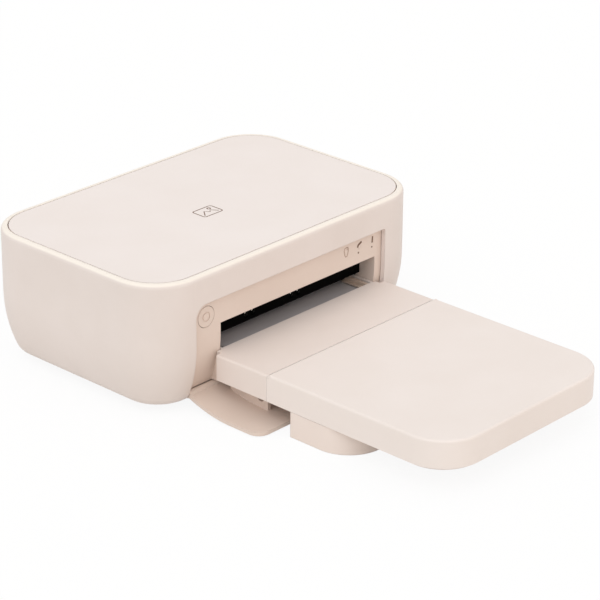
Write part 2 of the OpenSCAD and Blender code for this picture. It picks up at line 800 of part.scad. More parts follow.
module side_plate_outline() {
    polygon([[plate_y0, plate_z0], [plate_y1, plate_z0], [plate_y1, plate_z1],
        [lever_y - 12, plate_z1], [lever_y - 20, plate_z1 - 4], [plate_y0 + 14, plate_z1 - 4],
        [plate_y0, plate_z1 - 18]]);
}

module shaft_holes(extra) {
    for (p = concat(bush_places, [[capstan_y, pinch_z, 1.5], [lever_y, lever_z, 2]]))
        translate([p[0], p[1]]) circle(p[2] + extra);
}

// Plain bushes in both side plates, each with its rim on the inside
module shaft_bushes() {
    rim_t = 0.8;
    color([0.93, 0.93, 0.9])
        for (p = bush_places)
            for (x = [[plate_x0, plate_x0 + plate_t], [plate_x1 + plate_t, plate_x1]])
                difference() {
                    union() {
                        rod_x(min(x), max(x), p[0], p[1], p[2]);
                        rod_x(min(x[1], x[1] + sign(x[1] - x[0]) * rim_t),
                            max(x[1], x[1] + sign(x[1] - x[0]) * rim_t), p[0], p[1], p[2] + 1.2);
                    }
                    rod_x(min(x) - 2, max(x) + 2, p[0], p[1], shaft_r + bearing);
                }
}
shaft_r = 2.5;
bush_r = 3.9;
bush_places = [[platen_y, platen_z, bush_r], [capstan_y, capstan_z, bush_r],
    [pickup_y, pickup_z, bush_r]];

module left_side_plate() {
    color([0.72, 0.73, 0.75]) along_x(plate_x0, plate_x0 + plate_t) difference() {
        side_plate_outline();
        shaft_holes(bearing);
        translate([takeup_y, spool_z]) circle(3.2);
        translate([supply_y, spool_z]) circle(2.2);
    }
}

module right_side_plate() {
    color([0.72, 0.73, 0.75]) along_x(plate_x1, plate_x1 + plate_t) difference() {
        side_plate_outline();
        shaft_holes(bearing);
        for (y = [supply_y, takeup_y])
            translate([y, spool_z]) circle(barrel_r + 0.5);
        rect(supply_y, spool_z - 3, takeup_y, spool_z + barrel_r + 0.5);
        polygon([[supply_y + 2, spool_z], [sink_y0 - 3, path_z - 0.6], [sink_y1 + 2.4, path_z - 0.6],
            [capstan_y - 1.4, path_z + 9], [takeup_y, spool_z]]);
    }
}

wheel_xs = [for (i = [-1, 1], s = [-1, 1]) slot_x - 9.5 + i * 16.5 + s * 2.5];
wheel_r = 2.3;
wheel_pin_r = 0.6;
guide_z0 = path_z + 0.5;
guide_z1 = slot_top + collar_t + 2.4;

module front_guide() {
    color([0.06, 0.06, 0.06]) difference() {
        union() {
            block(plate_x0 + plate_t, guide_y, guide_z0, slot_x1 - seat, guide_y + 2, guide_z1);
            block(plate_x0 + plate_t, guide_y, guide_z1 - 2, plate_x1, guide_y + 8, guide_z1);
        }
        for (x = wheel_xs)
            block(x - 1.1, guide_y - 1, guide_z0 + 2, x + 1.1, guide_y + 3, guide_z0 + 8);
        rod_x(min(wheel_xs) - 4, max(wheel_xs) + 4, guide_y + 1, guide_z0 + 5, wheel_pin_r + bearing);
    }
}

module exit_wheels() {
    color([0.95, 0.95, 0.95]) {
        for (x = wheel_xs)
            rod_x(x - 0.6, x + 0.6, guide_y + 1, guide_z0 + 5, wheel_r);
        rod_x(min(wheel_xs) - 3.8, max(wheel_xs) + 3.8, guide_y + 1, guide_z0 + 5, wheel_pin_r);
    }
}

module paper_guides() {
    color([0.13, 0.13, 0.14]) along_x(plate_x0 + plate_t, plate_x1) {
        polygon([[tray_in_y + 1.2, path_z - 4.4], [tray_in_y + 2.4, path_z - 5], [platen_y - 9, path_z - 1.6],
            [platen_y - 9, path_z - 0.4]]);
        rect(capstan_y + 6, path_z - 1.8, rear_y - wall - 1, path_z - 0.6);
        rect(rear_y - wall - 14, plate_z0, rear_y - wall - 12.4, path_z - 1.7);
    }
}

// ---------- rollers ----------
module platen_shaft() {
    color([0.78, 0.78, 0.8]) rod_x(plate_x0 - 0.4, plate_x1 + plate_t + 0.4, platen_y, platen_z, shaft_r);
}

module platen_rubber() {
    color([0.1, 0.1, 0.1]) difference() {
        rod_x(paper_x0 - 1, paper_x1 + 1, platen_y, platen_z, platen_r);
        rod_x(paper_x0 - 2, paper_x1 + 2, platen_y, platen_z, shaft_r);
    }
}

module capstan_roller() {
    color([0.8, 0.8, 0.82]) {
        rod_x(paper_x0 - 2, paper_x1 + 2, capstan_y, capstan_z, capstan_r);
        rod_x(layer1_x, plate_x1 + plate_t + 0.6, capstan_y, capstan_z, shaft_r);
    }
}

module capstan_gear() {
    color([0.93, 0.93, 0.9]) difference() {
        gear_x(layer1_x, layer_w, capstan_y, capstan_z, z_capstan, 0, shaft_r);
        web_pocket(layer1_x - 1, 2.2, capstan_y, capstan_z, 4.4, pitch(z_capstan) - 2.6);
    }
}

module pinch_roller() {
    color([0.2, 0.2, 0.2]) {
        rod_x(paper_x0 - 1, paper_x1 + 1, capstan_y, pinch_z, pinch_r);
        rod_x(plate_x0 - 0.4, plate_x1 + plate_t + 0.4, capstan_y, pinch_z, 1.5);
    }
}

module pickup_shaft() {
    color([0.78, 0.78, 0.8])
        rod_x(layer1_x, plate_x1 + plate_t + 0.6, pickup_y, pickup_z, shaft_r);
}

module pickup_tyres() {
    color([0.16, 0.16, 0.17])
        for (x = [mid_x - 17, mid_x + 7])
            difference() {
                rod_x(x, x + 10, pickup_y, pickup_z, pickup_r);
                rod_x(x - 1, x + 11, pickup_y, pickup_z, shaft_r);
            }
}

module pickup_gear() {
    color([0.93, 0.93, 0.9]) difference() {
        gear_x(layer1_x, layer_w, pickup_y, pickup_z, z_pickup, 0, shaft_r);
        web_pocket(layer1_x - 1, 2.2, pickup_y, pickup_z, 4.4, pitch(z_pickup) - 2.6);
    }
}

// ---------- print head ----------
head_z = path_z + 0.3;
sink_y0 = platen_y - 6;
sink_y1 = platen_y + 8;

module print_head() {
    color([0.35, 0.3, 0.26]) {
        block(paper_x0 - 3, sink_y0 + 1, head_z + 1, paper_x1 + 3, sink_y1, head_z + 3.4);
        rod_x(paper_x0, paper_x1, platen_y, head_z + 1.4, 1.4);
    }
}

module heat_sink() {
    fin_t = 1.4;
    z0 = head_z + 3.4;
    color([0.7, 0.71, 0.73]) {
        block(paper_x0 - 3, sink_y0, z0, paper_x1 + 3, sink_y1, z0 + 3);
        for (i = [0:3])
            block(paper_x0 - 3, sink_y0 + i * (sink_y1 - sink_y0 - fin_t) / 3, z0 + 2,
                paper_x1 + 3, sink_y0 + i * (sink_y1 - sink_y0 - fin_t) / 3 + fin_t, lever_z - lever_t / 2);
    }
}

module head_lever() {
    x0 = plate_x0 + plate_t + 1;
    x1 = plate_x1 - 1;
    color([0.6, 0.61, 0.63]) difference() {
        union() {
            block(x0, sink_y0 - 2, lever_z - lever_t / 2, x1, lever_y, lever_z + lever_t / 2);
            for (x = [x0, x1 - 5])
                rod_x(x, x + 5, lever_y, lever_z, 4);
        }
        for (x = [x0 - 1, x1 - 6])
            rod_x(x, x + 7, lever_y, lever_z, 2 + bearing);
        block(x0 + 5, lever_y - 5, lever_z - 3, x1 - 5, lever_y + 1, lever_z + 3);
        block(x0 + 14, sink_y1 + 4, lever_z - 3, mid_x - 6, lever_y - 11, lever_z + 3);
        block(mid_x + 6, sink_y1 + 4, lever_z - 3, x1 - 14, lever_y - 11, lever_z + 3);
    }
}

module head_pivot_shaft() {
    color([0.78, 0.78, 0.8]) rod_x(plate_x0, plate_x1 + plate_t, lever_y, lever_z, 2);
}

// ---------- ribbon cartridge ----------
module ribbon_cartridge() {
    r = barrel_r;
    color([0.2, 0.2, 0.22]) difference() {
        union() {
            for (y = [supply_y, takeup_y])
                rod_x(cart_x0, cart_x1 - 6, y, spool_z, r);
            block(cart_x1 - 10, supply_y, spool_z - 2.4, cart_x1 - 6, takeup_y, spool_z + r);
            block(cart_x1 - 7, supply_y + 12, spool_z + 1, cart_x1, takeup_y - 12, spool_z + r - 3);
        }
        for (y = [supply_y, takeup_y]) {
            rod_x(cart_x0 + 1.6, cart_x1 - 7.6, y, spool_z, r - 1.4);
            rod_x(cart_x0 - 1, cart_x1 - 5, y, spool_z, 4 + bearing);
        }
        // ribbon slots along the two barrels
        for (q = [[supply_y, -25], [takeup_y, 216]])
            translate([0, q[0], spool_z]) rotate([q[1], 0, 0])
                block(paper_x0 - 2, r - 3, -3.2, paper_x1 + 2, r + 1, 3.2);
    }
}

module spool(y, roll_r, bore) {
    rod_x(paper_x0 - 1, paper_x1 + 1, y, spool_z, roll_r);
    difference() {
        rod_x(cart_x0 - 0.6, cart_x1 - 6.4, y, spool_z, 4);
        rod_x(cart_x0 - 2, cart_x0 + 8, y, spool_z, bore);
    }
}

module supply_spool() {
    color([0.75, 0.6, 0.2]) spool(supply_y, supply_roll, 2.2);
}

module takeup_spool() {
    color([0.3, 0.25, 0.3]) spool(takeup_y, takeup_roll, 2.4);
}
supply_roll = 8.2;
takeup_roll = 5.6;

// Inked film from the supply roll under the print head to the take-up roll
module ribbon_film() {
    t = 0.12;
    color([0.25, 0.2, 0.28]) along_x(paper_x0 + 1, paper_x1 - 1) {
        polygon([[supply_y + supply_roll + 0.1, spool_z], [sink_y0 - 1, head_z - 0.14],
            [sink_y1 + 1, head_z - 0.14], [takeup_y - takeup_roll - 0.1, spool_z],
            [takeup_y - takeup_roll - 0.1 - t, spool_z], [sink_y1 + 1, head_z - 0.14 - t],
            [sink_y0 - 1, head_z - 0.14 - t], [supply_y + supply_roll + 0.1 + t, spool_z]]);
    }
}

// ---------- drive ----------
module takeup_drive() {
    color([0.93, 0.93, 0.9]) {
        gear_x(layer1_x, layer_w, takeup_y, spool_z, z_takeup, ph_takeup, 0);
        rod_x(layer1_x + 1, plate_x0 + plate_t + 0.6, takeup_y, spool_z, 3.2 - bearing);
        rod_x(layer1_x + 1, cart_x0 + 6, takeup_y, spool_z, 2.3);
    }
}

module reduction_gear() {
    color([0.93, 0.93, 0.9]) {
        difference() {
            gear_x(layer2_x, layer_w, comp_y, comp_z, z_big, 0, 1.5 + bearing);
            web_pocket(layer2_x - 1, 2.2, comp_y, comp_z, 4, pitch(z_big) - 2.6);
        }
        gear_x(layer2_x + layer_w, layer_w + 1, comp_y, comp_z, z_small, ph_small, 1.5 + bearing);
    }
}

module reduction_axle() {
    color([0.78, 0.78, 0.8]) rod_x(gear_plate_x, plate_x0, comp_y, comp_z, 1.5);
}

module motor_pinion() {
    color([0.8, 0.68, 0.35]) {
        gear_x(layer2_x, layer_w, pin_y, pin_z, z_pinion, ph_pinion, 0);
        rod_x(gear_plate_x - 1, layer2_x + 1, pin_y, pin_z, 1.5);
    }
}

module motor_can(y, z, r, len, hole) {
    difference() {
        rod_x(gear_plate_x - len, gear_plate_x, y, z, r);
        rod_x(gear_plate_x - 3, gear_plate_x + 1, y, z, hole);
    }
}

module drive_motor() {
    color([0.55, 0.56, 0.58]) motor_can(pin_y, pin_z, 11.5, 15, 2.4);
}

module pickup_pinion() {
    color([0.8, 0.68, 0.35]) {
        gear_x(layer1_x, layer_w, pick_y, pick_z, z_pinion, ph_pick, 0);
        rod_x(gear_plate_x - 1, layer1_x + 1, pick_y, pick_z, 1.5);
    }
}

module pickup_motor() {
    color([0.55, 0.56, 0.58]) motor_can(pick_y, pick_z, 9, 13, 2.4);
}

module gear_plate() {
    y0 = pickup_y + 3;
    color([0.66, 0.67, 0.69]) {
        along_x(gear_plate_x, gear_plate_x + plate_t) difference() {
            rect(y0, plate_z0, plate_y1 - 2, spool_z + 2);
            translate([comp_y, comp_z]) circle(1.5);
            translate([pin_y, pin_z]) circle(2.4);
            translate([pick_y, pick_z]) circle(2.4);
        }
        for (p = [[y0 + 5, plate_z0 + 5], [plate_y1 - 4.4, plate_z0 + 2.4], [-8, spool_z - 3]])
            rod_x(gear_plate_x + plate_t, plate_x0, p[0], p[1], 2);
    }
}

module main_board() {
    x0 = plate_x1 + plate_t + 3;
    x1 = side_x - 13;
    z = plate_z0 + 3;
    color([0.1, 0.4, 0.25]) {
        block(x0, -38, z, x1, 38, z + 1.6);
        for (y = [-30, 30])
            block(x0 + 2, y - 2.5, chassis_z, x0 + 7, y + 2.5, z);
    }
    color([0.1, 0.1, 0.1]) {
        block(x0 + 3, -20, z + 1.6, x0 + 11, -8, z + 3.2);
        for (y = [4, 14])
            translate([x1 - 5, y, z + 1.6]) cylinder(r = 3, h = 7);
    }
}

// Board behind the button and the lights, on three posts of the fascia
module front_board() {
    color([0.1, 0.4, 0.25])
        block(button_x - 7, board_y, slot_top + 3.2, slot_x1 + 2, board_y + 1.6, light_z + 4.3);
    color([0.1, 0.1, 0.1]) {
        block(button_x - 3, button_end + button_travel + 0.1, button_z - 3,
            button_x + 3, board_y + 0.1, button_z + 3);
        for (x = light_xs)
            block(x - 1.5, fascia_y + 5.3, light_z - 1, x + 1.5, board_y + 0.1, light_z + 1);
    }
}

outer_housing();
top_panel();
base_plate();
rubber_feet();
front_fascia();
front_door();
front_door_pins();
power_button();
status_lights();
side_door();
side_door_pins();
power_inlet();
tray_tub();
tray_lid();
tray_foot();
paper_stack();
tray_side_guide();
lift_plate();
lift_springs();
chassis_base();
left_side_plate();
right_side_plate();
front_guide();
exit_wheels();
paper_guides();
platen_shaft();
platen_rubber();
capstan_roller();
capstan_gear();
pinch_roller();
pickup_shaft();
pickup_tyres();
pickup_gear();
print_head();
heat_sink();
head_lever();
head_pivot_shaft();
ribbon_cartridge();
supply_spool();
takeup_spool();
ribbon_film();
takeup_drive();
reduction_gear();
reduction_axle();
motor_pinion();
drive_motor();
pickup_pinion();
pickup_motor();
gear_plate();
main_board();
front_board();
shaft_bushes();
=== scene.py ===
"""Finishes and fine detail of a compact photo printer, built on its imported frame."""
import json
import math

import bpy
import numpy as np
from bpy.props import FloatProperty, FloatVectorProperty, IntProperty, PointerProperty
from mathutils import Matrix, Vector


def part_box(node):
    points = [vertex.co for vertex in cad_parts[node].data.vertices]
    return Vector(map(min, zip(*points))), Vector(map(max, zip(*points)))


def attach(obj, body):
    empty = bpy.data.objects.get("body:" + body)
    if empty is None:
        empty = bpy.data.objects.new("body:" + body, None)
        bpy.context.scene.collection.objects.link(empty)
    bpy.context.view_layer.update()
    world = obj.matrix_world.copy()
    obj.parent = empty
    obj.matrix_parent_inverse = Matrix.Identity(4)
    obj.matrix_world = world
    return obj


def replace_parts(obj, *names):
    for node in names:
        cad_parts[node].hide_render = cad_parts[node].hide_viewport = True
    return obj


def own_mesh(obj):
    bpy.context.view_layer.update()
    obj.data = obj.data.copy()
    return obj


bl_info = {
    "name": "Compact Photo Printer",
    "version": (1, 0, 0),
    "blender": (4, 5, 0),
    "location": "View3D > Sidebar > Photo Printer",
    "description": "Moulded finishes, marks, springs, screws and the stage of a compact photo printer",
    "category": "Object",
}

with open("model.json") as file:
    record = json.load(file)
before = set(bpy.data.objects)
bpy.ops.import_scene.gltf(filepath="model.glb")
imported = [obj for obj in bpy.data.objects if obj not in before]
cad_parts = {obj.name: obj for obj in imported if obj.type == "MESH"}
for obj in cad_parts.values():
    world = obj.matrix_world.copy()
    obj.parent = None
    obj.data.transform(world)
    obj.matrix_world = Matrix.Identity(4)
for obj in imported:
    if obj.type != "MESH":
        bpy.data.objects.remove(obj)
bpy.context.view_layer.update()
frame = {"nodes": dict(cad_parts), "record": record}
MM = 0.001
# the main board's face above the low edge of its node, in millimetres
BOARD_FACE = 6.6


# ---------------------------------------------------------------- settings
def colour(name, description, default):
    """A colour setting, given as it looks on a screen."""
    return FloatVectorProperty(name=name, description=description, default=default, size=3,
                               min=0.0, max=1.0, subtype="COLOR_GAMMA")


def length(name, description, default_mm, low=0.01, high=400.0):
    """A length setting, given here in millimetres and kept in metres."""
    return FloatProperty(name=name, description=description, default=default_mm * MM,
                         min=low * MM, max=high * MM, unit="LENGTH", precision=5)


class PrinterColours(bpy.types.PropertyGroup):
    """Colours of the printer's finishes, with a painted highlight for the rim and painted shade for the seam.
    """
    shell: colour("Shell", "Housing and ribbon door", (0.916, 0.874, 0.854))
    # painted highlight: the rim's paler, creamier colour stands in for light on the housing's rounded top
    # edge
    rim_highlight: colour("Rim", "Top edge of the housing", (0.985, 0.952, 0.915))
    # painted shade: the top panel's edge inside the seam is painted brown, standing in for shade in the gap
    # round the panel
    seam: colour("Seam", "Edge of the top panel, seen in the seam around it", (0.800, 0.660, 0.560))
    top: colour("Top panel", "Flat lid of the housing", (0.953, 0.917, 0.902))
    fascia: colour("Fascia", "Set-back front with the paper slot", (0.905, 0.838, 0.795))
    door: colour("Front door", "Drop-down door", (0.903, 0.836, 0.792))
    tray: colour("Tray", "Tray head and tub", (0.933, 0.888, 0.864))
    lid: colour("Tray lid", "Hinged lid of the tray", (0.948, 0.910, 0.890))
    foot: colour("Tray foot", "Block that carries the tray", (0.945, 0.892, 0.862))
    base: colour("Base", "Underside plate", (0.860, 0.805, 0.775))
    guide: colour("Paper guide", "Beige side guide in the tray", (0.840, 0.755, 0.690))
    ink: colour("Printed marks", "Marks printed on the front and the top", (0.480, 0.370, 0.300))
    pale: colour("Pale mark", "First of the marks on the front", (0.700, 0.590, 0.520))
    dark: colour("Black plastic", "Chassis and guides", (0.040, 0.039, 0.038))
    paper: colour("Paper", "Grey back of the photo paper", (0.76, 0.742, 0.752))


class PrinterSizes(bpy.types.PropertyGroup):
    """Sizes of the fine detail."""
    mark_line: length("Mark line", "Width of a printed line", 0.45, 0.1, 2.0)
    emblem: length("Top mark", "Width of the picture mark on the top panel", 13.0, 4.0, 30.0)
    spring_wire: length("Spring wire", "Diameter of the lift springs' wire", 0.42, 0.2, 1.0)
    spring_turns: IntProperty(name="Spring turns", description="Turns in each lift spring",
                              default=4, min=2, max=12)
    screw_head: length("Screw head", "Radius of a screw head", 2.4, 1.0, 4.0)
    sheet: length("Sheet thickness", "Thickness of one sheet in the stack", 0.25, 0.1, 1.0)
    rib: length("Rib thickness", "Thickness of the ribs under the tray's lid", 1.0, 0.5, 2.0)


class PrinterStage(bpy.types.PropertyGroup):
    """Camera and light."""
    azimuth: FloatProperty(name="Azimuth", description="Camera direction around the printer",
                           default=math.radians(-47.19), subtype="ANGLE")
    elevation: FloatProperty(name="Elevation", description="Camera height as an angle",
                             default=math.radians(24.28), subtype="ANGLE")
    roll: FloatProperty(name="Roll", description="Camera roll",
                        default=math.radians(0.40), subtype="ANGLE")
    distance: length("Distance", "Camera to the point it looks at", 1256.5, 100.0, 5000.0)
    target: FloatVectorProperty(name="Look at", description="Point the camera looks at",
                                default=(-0.01996, -0.08415, 0.05084), size=3, subtype="TRANSLATION")
    focal: FloatProperty(name="Focal length", description="Lens, in millimetres, on a 36 mm sensor",
                         default=155.04, min=20.0, max=400.0)
    sky: FloatProperty(name="Sky", description="Even light from all around", default=0.775, min=0.0)
    key: FloatProperty(name="Key lamp", description="Large lamp at the upper left", default=0.75, min=0.0)
    fill: FloatProperty(name="Fill lamp", description="Weak lamp at the front", default=0.30, min=0.0)
    floor: FloatVectorProperty(name="Floor", description="Colour of the light that the floor gives back",
                               default=(0.80, 0.77, 0.735), size=3, min=0.0, max=1.0, subtype="COLOR")
    shadow: FloatProperty(name="Shadow", description="How much of the shadow the floor shows",
                          default=0.10, min=0.0, max=1.0)


def settings():
    """The three groups of settings on the scene."""
    s = bpy.context.scene
    return s.printer_colours, s.printer_sizes, s.printer_stage


# ---------------------------------------------------------------- finishes
def linear(c):
    """Screen colour to linear light: the power curve above 0.04045, a straight line below."""
    return tuple(x / 12.92 if x <= 0.04045 else ((x + 0.055) / 1.055) ** 2.4 for x in c)


class Nodes:
    """Short hand for building a node tree."""

    def __init__(self, name):
        self.material = bpy.data.materials.get(name) or bpy.data.materials.new(name)
        self.material.use_nodes = True
        self.tree = self.material.node_tree
        self.tree.nodes.clear()
        self.out = self.add("ShaderNodeOutputMaterial")
        self.shader = self.add("ShaderNodeBsdfPrincipled")
        self.link(self.shader.outputs[0], self.out.inputs["Surface"])
        self.coord = self.add("ShaderNodeTexCoord").outputs["Object"]

    def add(self, kind, **values):
        node = self.tree.nodes.new(kind)
        for key, value in values.items():
            setattr(node, key, value)
        return node

    def link(self, a, b):
        self.tree.links.new(a, b)

    def set(self, **values):
        """Sets sockets of the shader: underscores stand for spaces."""
        for key, value in values.items():
            self.shader.inputs[key.replace("_", " ")].default_value = value

    def noise(self, size_mm, detail=3.0, roughness=0.55, stretch=None):
        """Noise with features of about size_mm, stretched along an axis where asked."""
        vector = self.coord
        if stretch:
            mapping = self.add("ShaderNodeMapping")
            mapping.inputs["Scale"].default_value = stretch
            self.link(vector, mapping.inputs["Vector"])
            vector = mapping.outputs[0]
        node = self.add("ShaderNodeTexNoise")
        node.inputs["Scale"].default_value = 1000.0 / size_mm
        node.inputs["Detail"].default_value = detail
        node.inputs["Roughness"].default_value = roughness
        self.link(vector, node.inputs["Vector"])
        return node.outputs["Fac"]

    def ramp(self, fac, stops):
        """Colour ramp through (place, linear colour) stops."""
        node = self.add("ShaderNodeValToRGB")
        while len(node.color_ramp.elements) < len(stops):
            node.color_ramp.elements.new(0.5)
        for element, (place, tone) in zip(node.color_ramp.elements, stops):
            element.position = place
            element.color = (*tone, 1.0)
        self.link(fac, node.inputs["Fac"])
        return node.outputs["Color"]

    def part(self, vector, axis):
        """One coordinate of a vector."""
        node = self.add("ShaderNodeSeparateXYZ")
        self.link(vector, node.inputs[0])
        return node.outputs[axis]

    def blend(self, fac, before, after):
        """Goes from one colour to another as fac goes from 0 to 1; each may be a socket or fixed."""
        node = self.add("ShaderNodeMixRGB")
        for value, socket in zip((fac, before, after), node.inputs):
            if isinstance(value, tuple):
                socket.default_value = value
            else:
                self.link(value, socket)
        return node.outputs[0]

    def span(self, fac, low, high, a=0.3, b=0.7):
        """Spreads fac from a..b over low..high."""
        node = self.add("ShaderNodeMapRange")
        for key, value in (("From Min", a), ("From Max", b), ("To Min", low), ("To Max", high)):
            node.inputs[key].default_value = value
        self.link(fac, node.inputs["Value"])
        return node.outputs["Result"]

    def tint(self, axis, a, b, tone, facing=None):
        """Turns the base colour to tone as the place along an axis goes from a to b, in metres; where
        facing names an axis too, only on faces that look along it."""
        socket = self.shader.inputs["Base Color"]
        before = socket.links[0].from_socket
        share = self.span(self.part(self.coord, axis), 0.0, 1.0, a, b)
        if facing:
            size = self.add("ShaderNodeMath", operation="ABSOLUTE")
            self.link(self.part(self.coord.node.outputs["Normal"], facing), size.inputs[0])
            both = self.add("ShaderNodeMath", operation="MULTIPLY")
            self.link(self.span(size.outputs[0], 0.0, 1.0, 0.3, 0.5), both.inputs[0])
            self.link(share, both.inputs[1])
            share = both.outputs[0]
        self.link(self.blend(share, before, (*linear(tone), 1.0)), socket)

    def bump(self, heights, edge_mm=0.0):
        """Bump from (height, distance in mm) pairs, on a rounded edge where asked."""
        normal = None
        if edge_mm:
            bevel = self.add("ShaderNodeBevel", samples=4)
            bevel.inputs["Radius"].default_value = edge_mm * MM
            normal = bevel.outputs[0]
        for height, distance in heights:
            node = self.add("ShaderNodeBump")
            node.inputs["Distance"].default_value = distance * MM
            self.link(height, node.inputs["Height"])
            if normal is not None:
                self.link(normal, node.inputs["Normal"])
            normal = node.outputs[0]
        self.link(normal, self.shader.inputs["Normal"])


def moulded(name, tone, rough=0.42, spread=0.02, grain=0.22, depth=0.006, edge=0.35, coat=0.0,
            shine=0.5, painted_tints=()):
    """Injection-moulded plastic: fine spark-eroded grain, slight clouding of colour and sheen, and, where
    asked, tints on part of it that paint light and shade in."""
    n = Nodes(name)
    base = np.array(linear(tone))
    cloud = n.noise(38.0, 4.0)
    low, high = base * (1 - spread) * (1.0, 0.994, 0.986), np.minimum(base * (1 + spread * 0.7), 1.0)
    n.link(n.ramp(cloud, [(0.34, low), (0.66, high)]), n.shader.inputs["Base Color"])
    for values in painted_tints:
        n.tint(*values)
    n.link(n.span(n.noise(3.1, 2.0), rough - 0.04, rough + 0.05), n.shader.inputs["Roughness"])
    n.bump([(n.noise(grain, 2.0), depth), (n.noise(9.0, 1.0), 0.012)], edge)
    n.set(IOR=1.47, Coat_Weight=coat, Coat_Roughness=0.25, Specular_IOR_Level=shine)
    return n.material


def metal(name, tone, rough, brushed=(1.0, 1.0, 1.0), spread=0.06, edge=0.15, depth=0.004):
    """Bare metal with drawn or ground lines along one axis."""
    n = Nodes(name)
    base = np.array(linear(tone))
    lines = n.noise(0.5, 4.0, 0.65, brushed)
    n.link(n.ramp(lines, [(0.3, base * (1 - spread)), (0.7, np.minimum(base * (1 + spread), 1.0))]),
           n.shader.inputs["Base Color"])
    n.link(n.span(n.noise(1.2, 3.0, 0.6, brushed), rough - 0.06, rough + 0.08),
           n.shader.inputs["Roughness"])
    n.bump([(lines, depth)], edge)
    n.set(Metallic=1.0)
    return n.material


def rubber(name, tone, rough=0.75):
    """Ground rubber: a soft, slightly dusty surface."""
    n = Nodes(name)
    base = np.array(linear(tone))
    dust = n.noise(2.4, 5.0, 0.7)
    n.link(n.ramp(dust, [(0.35, base * 0.8), (0.7, base * 1.35 + 0.004)]), n.shader.inputs["Base Color"])
    n.link(n.span(dust, rough - 0.08, rough + 0.08), n.shader.inputs["Roughness"])
    n.bump([(n.noise(0.35, 3.0), 0.02)], 0.3)
    n.set(IOR=1.5)
    return n.material


def film(name):
    """Dye film: magenta, yellow and magenta again along the web, with a thin dark mark between
    them. The colour comes from the place along the web, Y, in steps."""
    n = Nodes(name)
    front, rear = -0.0262, 0.0296
    place = n.span(n.part(n.coord, "Y"), 0.0, 1.0, front, rear)
    black = (0.004, 0.004, 0.005)
    tones = [(0.00, (0.115, 0.020, 0.055)), (0.34, black), (0.35, (0.60, 0.36, 0.02)),
             (0.62, black), (0.63, (0.12, 0.018, 0.05))]
    bands = n.ramp(place, tones)
    bands.node.color_ramp.interpolation = "CONSTANT"
    n.link(bands, n.shader.inputs["Base Color"])
    n.link(n.span(n.noise(6.0, 2.0), 0.14, 0.24), n.shader.inputs["Roughness"])
    n.bump([(n.noise(5.0, 2.0, 0.5, (0.2, 1.0, 1.0)), 0.05)])
    n.set(IOR=1.6, Coat_Weight=0.6, Coat_Roughness=0.1)
    return n.material


def wound(name, tone):
    """Film wound on a core: fine light and dark lines along the roll, specks on its ends."""
    n = Nodes(name)
    base = np.array(linear(tone))
    turns = n.noise(0.35, 2.0, 0.5, (0.02, 1.0, 1.0))
    n.link(n.ramp(turns, [(0.35, base * 0.55), (0.65, base * 1.35)]), n.shader.inputs["Base Color"])
    n.link(n.span(turns, 0.18, 0.34), n.shader.inputs["Roughness"])
    n.bump([(turns, 0.02)], 0.1)
    n.set(IOR=1.6, Coat_Weight=0.4, Coat_Roughness=0.12)
    return n.material


def circuit(name):
    """Circuit board: lighter lines round the cells of a pattern under green lacquer, pale pads in
    round spots, and the cells again in the bump."""
    n = Nodes(name)
    cells = n.add("ShaderNodeTexVoronoi", feature="DISTANCE_TO_EDGE")
    cells.inputs["Scale"].default_value = 420.0
    cells.inputs["Randomness"].default_value = 0.75
    n.link(n.coord, cells.inputs["Vector"])
    dots = n.add("ShaderNodeTexVoronoi", feature="F1")
    dots.inputs["Scale"].default_value = 260.0
    n.link(n.coord, dots.inputs["Vector"])
    line, green = (0.018, 0.135, 0.055), (0.006, 0.060, 0.030)
    lacquer = n.ramp(cells.outputs["Distance"], [(0.05, line), (0.09, green)])
    pads = n.ramp(dots.outputs["Distance"], [(0.10, (0.62, 0.60, 0.52)), (0.13, (0.0, 0.0, 0.0))])
    mask = n.ramp(dots.outputs["Distance"], [(0.10, (1.0, 1.0, 1.0)), (0.13, (0.0, 0.0, 0.0))])
    n.link(n.blend(mask, lacquer, pads), n.shader.inputs["Base Color"])
    n.link(n.span(n.noise(1.5, 2.0), 0.24, 0.36), n.shader.inputs["Roughness"])
    n.bump([(cells.outputs["Distance"], 0.03)], 0.1)
    n.set(Coat_Weight=0.3, Coat_Roughness=0.15)
    return n.material


